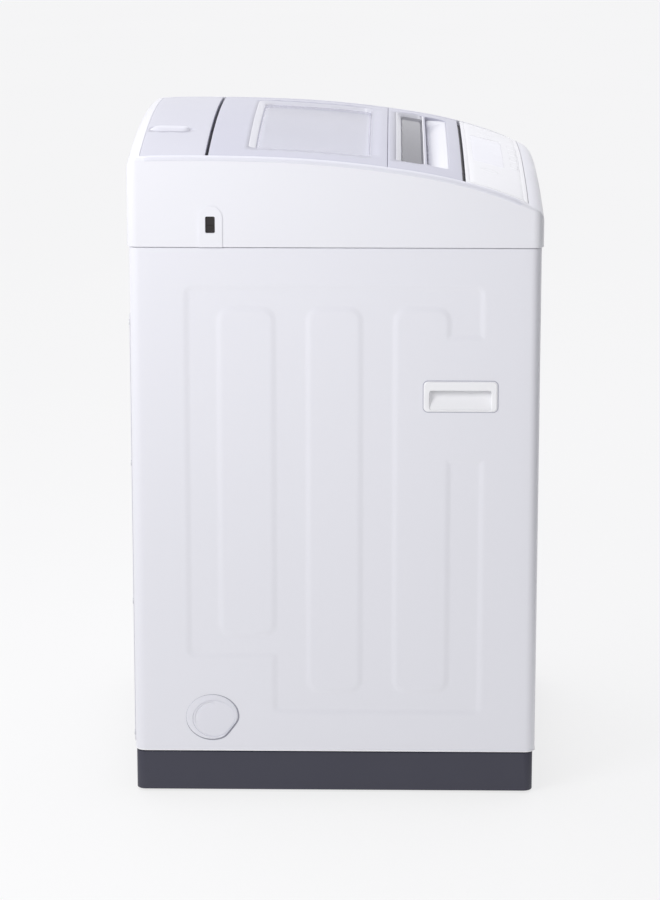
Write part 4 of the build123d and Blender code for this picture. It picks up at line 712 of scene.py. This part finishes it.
# hinge ears at the back of the rear leaf, and the ears of both leaves around the fold pins
ears = []
for k, x0 in enumerate((-158.0, 150.0)):
    ears.append(prism("ear", disc(140, 860.5, 4.6), x0, x0 + 8))
    ears.append(prism("ear", [(135.4, 860.5), (144.6, 860.5), (144.6, 868.0), (135.4, 868.0)], x0, x0 + 8))
put(soften(join("hinge_ears", ears), 0.4), "lid_rear", "lid_plastic")
for label, body, row, starts in (
        ("rear", "lid_rear", [(-66.1, 846), (-66.1, 839), (-69.5, 833), (-63.5, 832), (-53, 846)], (-236.0, 228.0)),
        ("front", "lid_front", [(-67.9, 845), (-67.9, 839), (-64.5, 833), (-70.5, 832), (-81, 845)], (-227.6, 219.6))):
    ears = []
    for x0 in starts:
        ears.append(prism("ear", row, x0, x0 + 8))
        ears.append(prism("ear", disc(-67, 836, 4.6), x0, x0 + 8))
    put(soften(join("fold_ears_" + label, ears), 0.4), body, "lid_plastic")

# ------------------------------------------------------------------ cabinet sheet with its softly pressed fields
CAB_X, CAB_Y, CORNER_R, SHEET, PRESS = 261.0, 267.5, 14.0, 1.2, 1.4
CAB_Z0, CAB_Z1 = 58.5, 744.0
ISLANDS = [(147.5, 84.7, 224.8, 659.1), (31.2, -28.9, 147.3, 659.1), (-82.4, -143.8, 147.3, 659.1),
           (-90.0, -240.0, 464.0, 621.7)]
PRESS_W = 9.0


def box_inside(y, z, y0, y1, z0, z1, r):
    """Distance inside a rounded box, negative outside."""
    qy, qz = np.abs(y - (y0 + y1) / 2) - (abs(y1 - y0) / 2 - r), np.abs(z - (z0 + z1) / 2) - ((z1 - z0) / 2 - r)
    return -(np.hypot(np.maximum(qy, 0), np.maximum(qz, 0)) + np.minimum(np.maximum(qy, qz), 0) - r)


def press_depth(y, z):
    d = np.maximum(box_inside(y, z, -196, 198.3, 187.3, 695.2, 12), box_inside(y, z, -196, 84.7, 109.8, 695.2, 12))
    for b in ISLANDS:
        d = np.minimum(d, -box_inside(y, z, *b, 12))
    t = np.clip(d / PRESS_W, 0, 1)
    return PRESS * t * t * (3 - 2 * t)


def feature_lines(lo, hi, at, reach=12, step=2.0, coarse=16):
    """Grid lines that crowd around the features."""
    keep = {lo, hi}
    for a in at:
        for q in np.arange(a - reach, a + reach + 0.01, step):
            if lo < q < hi:
                keep.add(round(float(q), 2))
    keep = sorted(keep)
    out = [keep[0]]
    for q in keep[1:]:
        if q - out[-1] < 0.9 and q != hi:
            continue
        gap = q - out[-1]
        n = max(1, int(math.ceil(gap / coarse)))
        out += [out[-1] + gap * (i + 1) / n for i in range(n)]
    return np.array(out)


def cabinet_mesh():
    ys = feature_lines(-(CAB_Y - CORNER_R), CAB_Y - CORNER_R,
                       [198.3, 147.5, 84.7, 31.2, -28.9, -82.4, -90.0, -143.8, -196.0, -207.2, -120.2, 139.4, 189.0])
    zs = feature_lines(CAB_Z0 + 2.0, CAB_Z1 - 2.0, [695.2, 659.1, 621.7, 563.8, 530.8, 464.0, 224.8, 187.3, 147.3, 109.8, 85.0, 127.4])
    xs = feature_lines(-(CAB_X - CORNER_R), CAB_X - CORNER_R, [-225, 225], reach=3, step=3, coarse=24)
    path = []  # (x, y, nx, ny, wall)
    arc = np.linspace(0, math.pi / 2, 12)[1:-1]
    cx, cy = CAB_X - CORNER_R, CAB_Y - CORNER_R
    path += [(-CAB_X, y, -1, 0, "L") for y in ys[::-1]]
    path += [(-cx - CORNER_R * math.cos(a), -cy - CORNER_R * math.sin(a), -math.cos(a), -math.sin(a), "c") for a in arc]
    path += [(x, -CAB_Y, 0, -1, "F") for x in xs]
    path += [(cx + CORNER_R * math.sin(a), -cy - CORNER_R * math.cos(a), math.sin(a), -math.cos(a), "c") for a in arc]
    path += [(CAB_X, y, 1, 0, "R") for y in ys]
    path += [(cx + CORNER_R * math.cos(a), cy + CORNER_R * math.sin(a), math.cos(a), math.sin(a), "c") for a in arc]
    path += [(x, CAB_Y, 0, 1, "B") for x in xs[::-1]]
    path += [(-cx - CORNER_R * math.sin(a), cy + CORNER_R * math.cos(a), -math.sin(a), math.cos(a), "c") for a in arc]
    # height profile: turned-in flange, small round, wall, small round, turned-in flange
    r = 1.6
    prof = [(13.4, CAB_Z0), (7.0, CAB_Z0)]
    prof += [(r * (1 - math.sin(a)), CAB_Z0 + r * (1 - math.cos(a))) for a in np.linspace(0, math.pi / 2, 5)]
    prof += [(0.0, z) for z in zs]
    prof += [(r * (1 - math.cos(a)), CAB_Z1 - r + r * math.sin(a)) for a in np.linspace(0, math.pi / 2, 5)]
    prof += [(7.0, CAB_Z1), (13.4, CAB_Z1)]
    bm = bmesh.new()
    px = np.array([p[:2] for p in path])
    pn = np.array([p[2:4] for p in path])
    rows = []
    side = np.array([p[4] in "LR" for p in path])
    for inset, z in prof:
        d = np.full(len(path), inset)
        if inset == 0.0:
            d = d + np.where(side, press_depth(px[:, 1], np.full(len(path), z)), 0)
        # past the corner's radius the flange runs square
        q = px - pn * d[:, None] if inset <= 2 else np.column_stack([
            np.clip(px[:, 0], -(CAB_X - inset), CAB_X - inset), np.clip(px[:, 1], -(CAB_Y - inset), CAB_Y - inset)])
        rows.append([bm.verts.new((x * MM, y * MM, z * MM)) for x, y in q])
    n = len(path)
    for (i0, z0), (i1, z1), a, b in zip(prof, prof[1:], rows, rows[1:]):
        zc = (z0 + z1) / 2
        for i in range(n):
            j = (i + 1) % n
            wall = path[i][4] if path[i][4] == path[j][4] else "c"
            yc, xc = (path[i][1] + path[j][1]) / 2, (path[i][0] + path[j][0]) / 2
            if i0 == 0 and i1 == 0:
                if wall in "LR" and abs(yc + 163.7) < 43.5 and abs(zc - 547.3) < 16.5:
                    continue
                if wall == "L" and ((yc - 164.2) / 24.6) ** 2 + ((zc - 106.2) / 20.9) ** 2 < 0.92:
                    continue
                if wall == "B" and abs(xc) < 225 and 85 < zc < 625:
                    continue
            bm.faces.new((a[i], a[j], b[j], b[i]))
    bmesh.ops.remove_doubles(bm, verts=bm.verts, dist=1e-5)
    loose = [v for v in bm.verts if not v.link_faces]
    bmesh.ops.delete(bm, geom=loose, context="VERTS")
    bmesh.ops.recalc_face_normals(bm, faces=bm.faces)
    if sum(f.normal.dot(Vector((f.calc_center_median().x, f.calc_center_median().y, 0))) * f.calc_area() for f in bm.faces) < 0:
        bmesh.ops.reverse_faces(bm, faces=bm.faces)
    o = finish_mesh(bm, "cabinet_sheet", 60)
    w = o.modifiers.new("sheet", "SOLIDIFY")
    w.thickness, w.offset = SHEET * MM, -1
    return o


put(cabinet_mesh(), "cabinet", "cabinet_paint", "cabinet")



def belt(name, outline, profile):
    """A thin band round an upright box: profile is (outward, z), outline is (cy, hx, hy, corner)."""
    cy, hx, hy, c = outline
    bm = bmesh.new()
    rows = []
    for d, z in profile:
        rows.append([bm.verts.new((x * MM, y * MM, z * MM)) for x, y in loop(0, cy, hx + d, hy + d, c + d, nx=12, ny=12, na=10)])
    for p, q in zip(rows, rows[1:] + rows[:1]):
        n = len(p)
        for i in range(n):
            bm.faces.new((p[i], p[(i + 1) % n], q[(i + 1) % n], q[i]))
    bmesh.ops.recalc_face_normals(bm, faces=bm.faces)
    return finish_mesh(bm, name, 40)


# rolled hem at the sheet's lower edge, painted lighter than the sheet as a highlight, and a painted shadow line on the
# base where it meets the sheet
put(belt("sheet_hem", (0.0, 261.0, 267.5, 14.0), [(-0.5, 58.75), (0.1, 58.75), (0.35, 58.95), (0.5, 59.5), (0.42, 60.1),
                                                  (0.12, 60.5), (-0.5, 60.6)]), "cabinet", "cabinet_paint", material="hem_painted_highlight")
put(belt("base_painted_shadow", (1.0, 258.5, 265.5, 12.0), [(-0.5, 56.3), (0.1, 56.3), (0.18, 56.5), (0.18, 58.2), (-0.5, 58.4)]),
    "cabinet", slot_of["base_frame"], material="painted_shadow_line")

# ------------------------------------------------------------------ carry handles, drain cap
def on_side(s, name, side, wall=0.0, closed=False):
    """Stands a sheet built over (Y, Z), with its height outwards, on the left (-1) or right (1) cabinet wall."""
    o = s.mesh(name, 0.0, 34, True)
    for v in o.data.vertices:
        u, q, w = v.co
        v.co = (side * (CAB_X * MM + w), u, q)
    bm = bmesh.new()
    bm.from_mesh(o.data)
    bmesh.ops.recalc_face_normals(bm, faces=bm.faces)
    if not closed and sum(f.normal.x * f.calc_area() for f in bm.faces) * side < 0:
        bmesh.ops.reverse_faces(bm, faces=bm.faces)
    bm.to_mesh(o.data)
    bm.free()
    if wall:
        w = o.modifiers.new("skin", "SOLIDIFY")
        w.thickness, w.offset = wall * MM, -1
    return o


def flat_ground(x, y):
    return np.zeros(len(np.atleast_1d(x)))


def grip_drop(u, v):
    """Depth of the hand space: deep behind the upper edge, with a hollowed ramp rising to the lower edge."""
    t = np.clip((v - 529.4) / 25.4, 0, 1)
    return 13.5 * t ** 1.5 + 7.0 * np.clip((t - 0.84) / 0.16, 0, 1) - 0.9


KH = dict(nx=26, ny=12, na=7)
for side, label in ((-1, "left"), (1, "right")):
    s = Sheet(flat_ground)
    b0 = loop(-163.7, 547.3, 48.5, 20.5, 6.0, **KH)
    b1 = loop(-163.7, 547.3, 47.0, 19.0, 4.8, **KH)
    o0 = loop(-163.7, 542.4, 41.6, 13.9, 4.2, **KH)
    o1 = loop(-163.7, 542.4, 40.6, 12.9, 3.6, **KH)
    o2 = loop(-163.7, 542.4, 40.2, 12.5, 3.4, **KH)
    s.band(b0, b1, [(0, 0.9), (0, -0.35)] + [(math.sin(a), -0.35 - 1.15 * (1 - math.cos(a))) for a in np.linspace(0.25, math.pi / 2, 6)])
    s.fill(b1, [o0], -1.5, 4)
    s.band(o0, o1, [(t, -1.5 + 1.3 * (1 - math.sqrt(max(0, 1 - t * t)))) for t in (0, 0.35, 0.65, 0.87, 1.0)])
    s.band(o1, o2, [(t, (-0.2, grip_drop, t)) for t in (0, 0.25, 0.5, 0.75, 1.0)])
    s.fill(o2, [], grip_drop, 2.2)
    # the grip wears the brighter copy of its plastic: painted highlight
    put(on_side(s, "grip_" + label, side, 1.0), "cabinet", "white_plastic", "carry_handle_" + label, material="grip_painted_highlight")
    # painted shade: a grey ring round the bezel, so its contour reads dark
    s = Sheet(flat_ground)
    s.band(loop(-163.7, 547.3, 49.5, 21.5, 6.9, **KH), loop(-163.7, 547.3, 48.1, 20.1, 5.6, **KH),
           [(0, 0.3), (0, -0.25), (0.15, -0.4), (0.8, -0.4), (1, -0.3)])
    put(on_side(s, "grip_shade_ring_" + label, side, 0.4), "cabinet", "white_plastic", material="grip_outline_painted_shade")


def cap_loop(scale, soft=2.2):
    """Oval with a chord taken off its lower front, the corners eased."""
    a = np.linspace(0, 2 * math.pi, 97)[:-1]
    u, v = np.cos(a) * 34.7, np.sin(a) * 31.0
    nu, nv = -23.5 / 29.4, -17.6 / 29.4
    over = (u * nu + v * nv) - 30.1
    cut = 0.5 * (over + np.sqrt(over ** 2 + soft ** 2)) * (over > -9)
    k = np.maximum(u * nu + v * nv, 1e-6)
    f = np.where(over > -9, (k - cut) / k, 1.0)
    return np.column_stack([164.2 + u * f * scale, 106.2 + v * f * scale])


s = Sheet(flat_ground)
steps = [(1.0, 0.0), (1.0, -0.55), (0.992, -0.8), (0.975, -0.92), (0.94, -1.1), (0.88, -1.42), (0.86, -1.55), (0.85, -1.6),
         (0.842, -1.4), (0.835, -0.5), (0.825, -0.3), (0.815, -0.5), (0.80, -0.8), (0.74, -0.86)]


def cap_ring(k):
    """The rings of the cap crowd towards its chord."""
    return cap_loop(k) + np.array([-3.0, -2.1]) * min(1.0, max(0.0, (0.98 - k) / 0.12))


rings = [s.ring(cap_ring(k), d) for k, d in steps]
for p, q in zip(rings, rings[1:]):
    s.strip(p, q)
s.fill(cap_ring(0.74), [], lambda u, v: -0.86 - 0.25 * np.clip(1 - np.hypot((u - 164.2) / 24, (v - 106.2) / 21), 0, 1), 4)
put(on_side(s, "drain_cap_cover", -1, 0.9), "cabinet", "cap_plastic", "drain_cap")
# painted shadow: a grey ring set off towards the lower front of the cap, standing in for the shade along the cap's
# lower edge
s = Sheet(flat_ground)
shadow_offset = np.array([-0.85, -0.65])
s.band(cap_loop(1.036) + shadow_offset, cap_loop(0.97) + shadow_offset, [(0, 0.3), (0, -0.15), (0.2, -0.28), (1, -0.28)])
put(on_side(s, "drain_cap_shadow_ring", -1, 0.35), "cabinet", "cap_plastic", material="cap_painted_shadow")


# ------------------------------------------------------------------ trim along both upper edges of the cover
RIM = [(252.8, -0.3), (253.1, 0.22), (257.6, 0.25), (260.2, 0.0), (261.7, -0.8), (262.6, -1.9), (262.8, -3.3), (262.8, -4.5),
       (262.4, -4.9)]
for side, label in ((-1, "left"), (1, "right")):
    bm = bmesh.new()
    rows = []
    for y in np.linspace(250.5, -246.5, 140):
        sink = 0.7 * (1 - min(1.0, (y + 246.5) / 14, (250.5 - y) / 9))  # both ends run out into the cover
        rows.append([bm.verts.new((side * (x - sink * (x > 262)) * MM, y * MM, (float(crown(min(x, HALF_W), y)) + d - sink) * MM))
                     for x, d in RIM])
    for p, q in zip(rows, rows[1:]):
        for i in range(len(RIM) - 1):
            bm.faces.new((p[i], p[i + 1], q[i + 1], q[i]))
    bmesh.ops.recalc_face_normals(bm, faces=bm.faces)
    if sum(f.normal.z * f.calc_area() for f in bm.faces) < 0:
        bmesh.ops.reverse_faces(bm, faces=bm.faces)
    o = finish_mesh(bm, "rim_trim_" + label, 50)
    w = o.modifiers.new("skin", "SOLIDIFY")
    w.thickness, w.offset = 0.5 * MM, -1
    # the trim is a little darker than the cover plastic: painted shade on the rim band
    put(o, "cabinet", slot_of["top_frame"], material="trim_painted_highlight_and_shade")

# ------------------------------------------------------------------ suspension springs
def coils(name, centres, z0, z1, r, wire, turns, steps=26, sides=9):
    bm = bmesh.new()
    for cx, cy in centres:
        rings = []
        rise = (z1 - z0) / (turns * 2 * math.pi)
        for i in range(turns * steps + 1):
            a = 2 * math.pi * i / steps
            out = Vector((math.cos(a), math.sin(a), 0))
            along = Vector((-r * math.sin(a), r * math.cos(a), rise)).normalized()
            over = along.cross(out)
            mid = Vector((cx, cy, z0 + rise * a)) + out * r
            rings.append([bm.verts.new((mid + out * wire * math.cos(b) + over * wire * math.sin(b)) * MM)
                          for b in np.linspace(0, 2 * math.pi, sides + 1)[:-1]])
        for p, q in zip(rings, rings[1:]):
            for i in range(sides):
                bm.faces.new((p[i], p[(i + 1) % sides], q[(i + 1) % sides], q[i]))
        bm.faces.new(rings[0])
        bm.faces.new(rings[-1])
    bmesh.ops.recalc_face_normals(bm, faces=bm.faces)
    return finish_mesh(bm, name, 50)


springs = coils("spring_coils", [(x, y) for x in (-224, 224) for y in (-228, 228)], 248.7, 294.25, 12.0, 1.68, 6)
springs.data.materials.append(MATS[slot_of["suspension_springs"]])
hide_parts("suspension_springs")
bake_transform(springs)


# ------------------------------------------------------------------ edges of the parts that stay as they come
SOFT = {"top_frame": 0.8, "base_frame": 1.2, "carry_handle_left": 0.5, "carry_handle_right": 0.5, "drain_cap": 0.5,
        "rear_panel": 0.3, "balance_ring": 1.2, "wash_plate": 0.8, "outer_tub": 0.8, "tub_ring": 0.6, "gearcase": 1.0,
        "motor": 1.0, "side_clips": 0.3}
for name, o in NODES.items():
    if o.hide_render:
        continue
    soften(o, SOFT.get(name, 0.3))

# ------------------------------------------------------------------ floor
bm = bmesh.new()
R = 30.0
vs = [bm.verts.new(p) for p in ((-R, -R, 0), (R, -R, 0), (R, R, 0), (-R, R, 0))]
bm.faces.new(vs)
me = bpy.data.meshes.new("floor")
bm.to_mesh(me)
bm.free()
floor = bpy.data.objects.new("floor", me)
bpy.context.scene.collection.objects.link(floor)
paper = surface("floor_paper", (0.22, 0.22, 0.22), rough=0.95, spec=0.05, grain=(300, 0.05, 0.0001), mottle=(0.6, 0.004))
paper.node_tree.nodes["Principled BSDF"].inputs["Emission Color"].default_value = (1, 1, 1, 1)
paper.node_tree.nodes["Principled BSDF"].inputs["Emission Strength"].default_value = 0.747
paper.cycles.emission_sampling = "NONE"  # far larger than the object, so chance rays find it well enough
me.materials.append(paper)

# dark card that stands out of sight beyond the front corner, so that the corner's edge reads dark
felt = surface("card_felt", (0.02, 0.02, 0.022), rough=0.95, spec=0.0, grain=(600, 0.2, 0.0002), mottle=(9, 0.2))


def dark_card(name, a, b, top):
    bm = bmesh.new()
    bm.faces.new([bm.verts.new(p) for p in ((*a, 0.0), (*b, 0.0), (*b, top), (*a, top))])
    me = bpy.data.meshes.new(name)
    bm.to_mesh(me)
    bm.free()
    o = bpy.data.objects.new(name, me)
    scene.collection.objects.link(o)
    me.materials.append(felt)
    o.visible_camera = False
    o.visible_shadow = False
    return o


dark_card("dark_card", (-0.62, -0.95), (0.05, -0.95), 1.25)
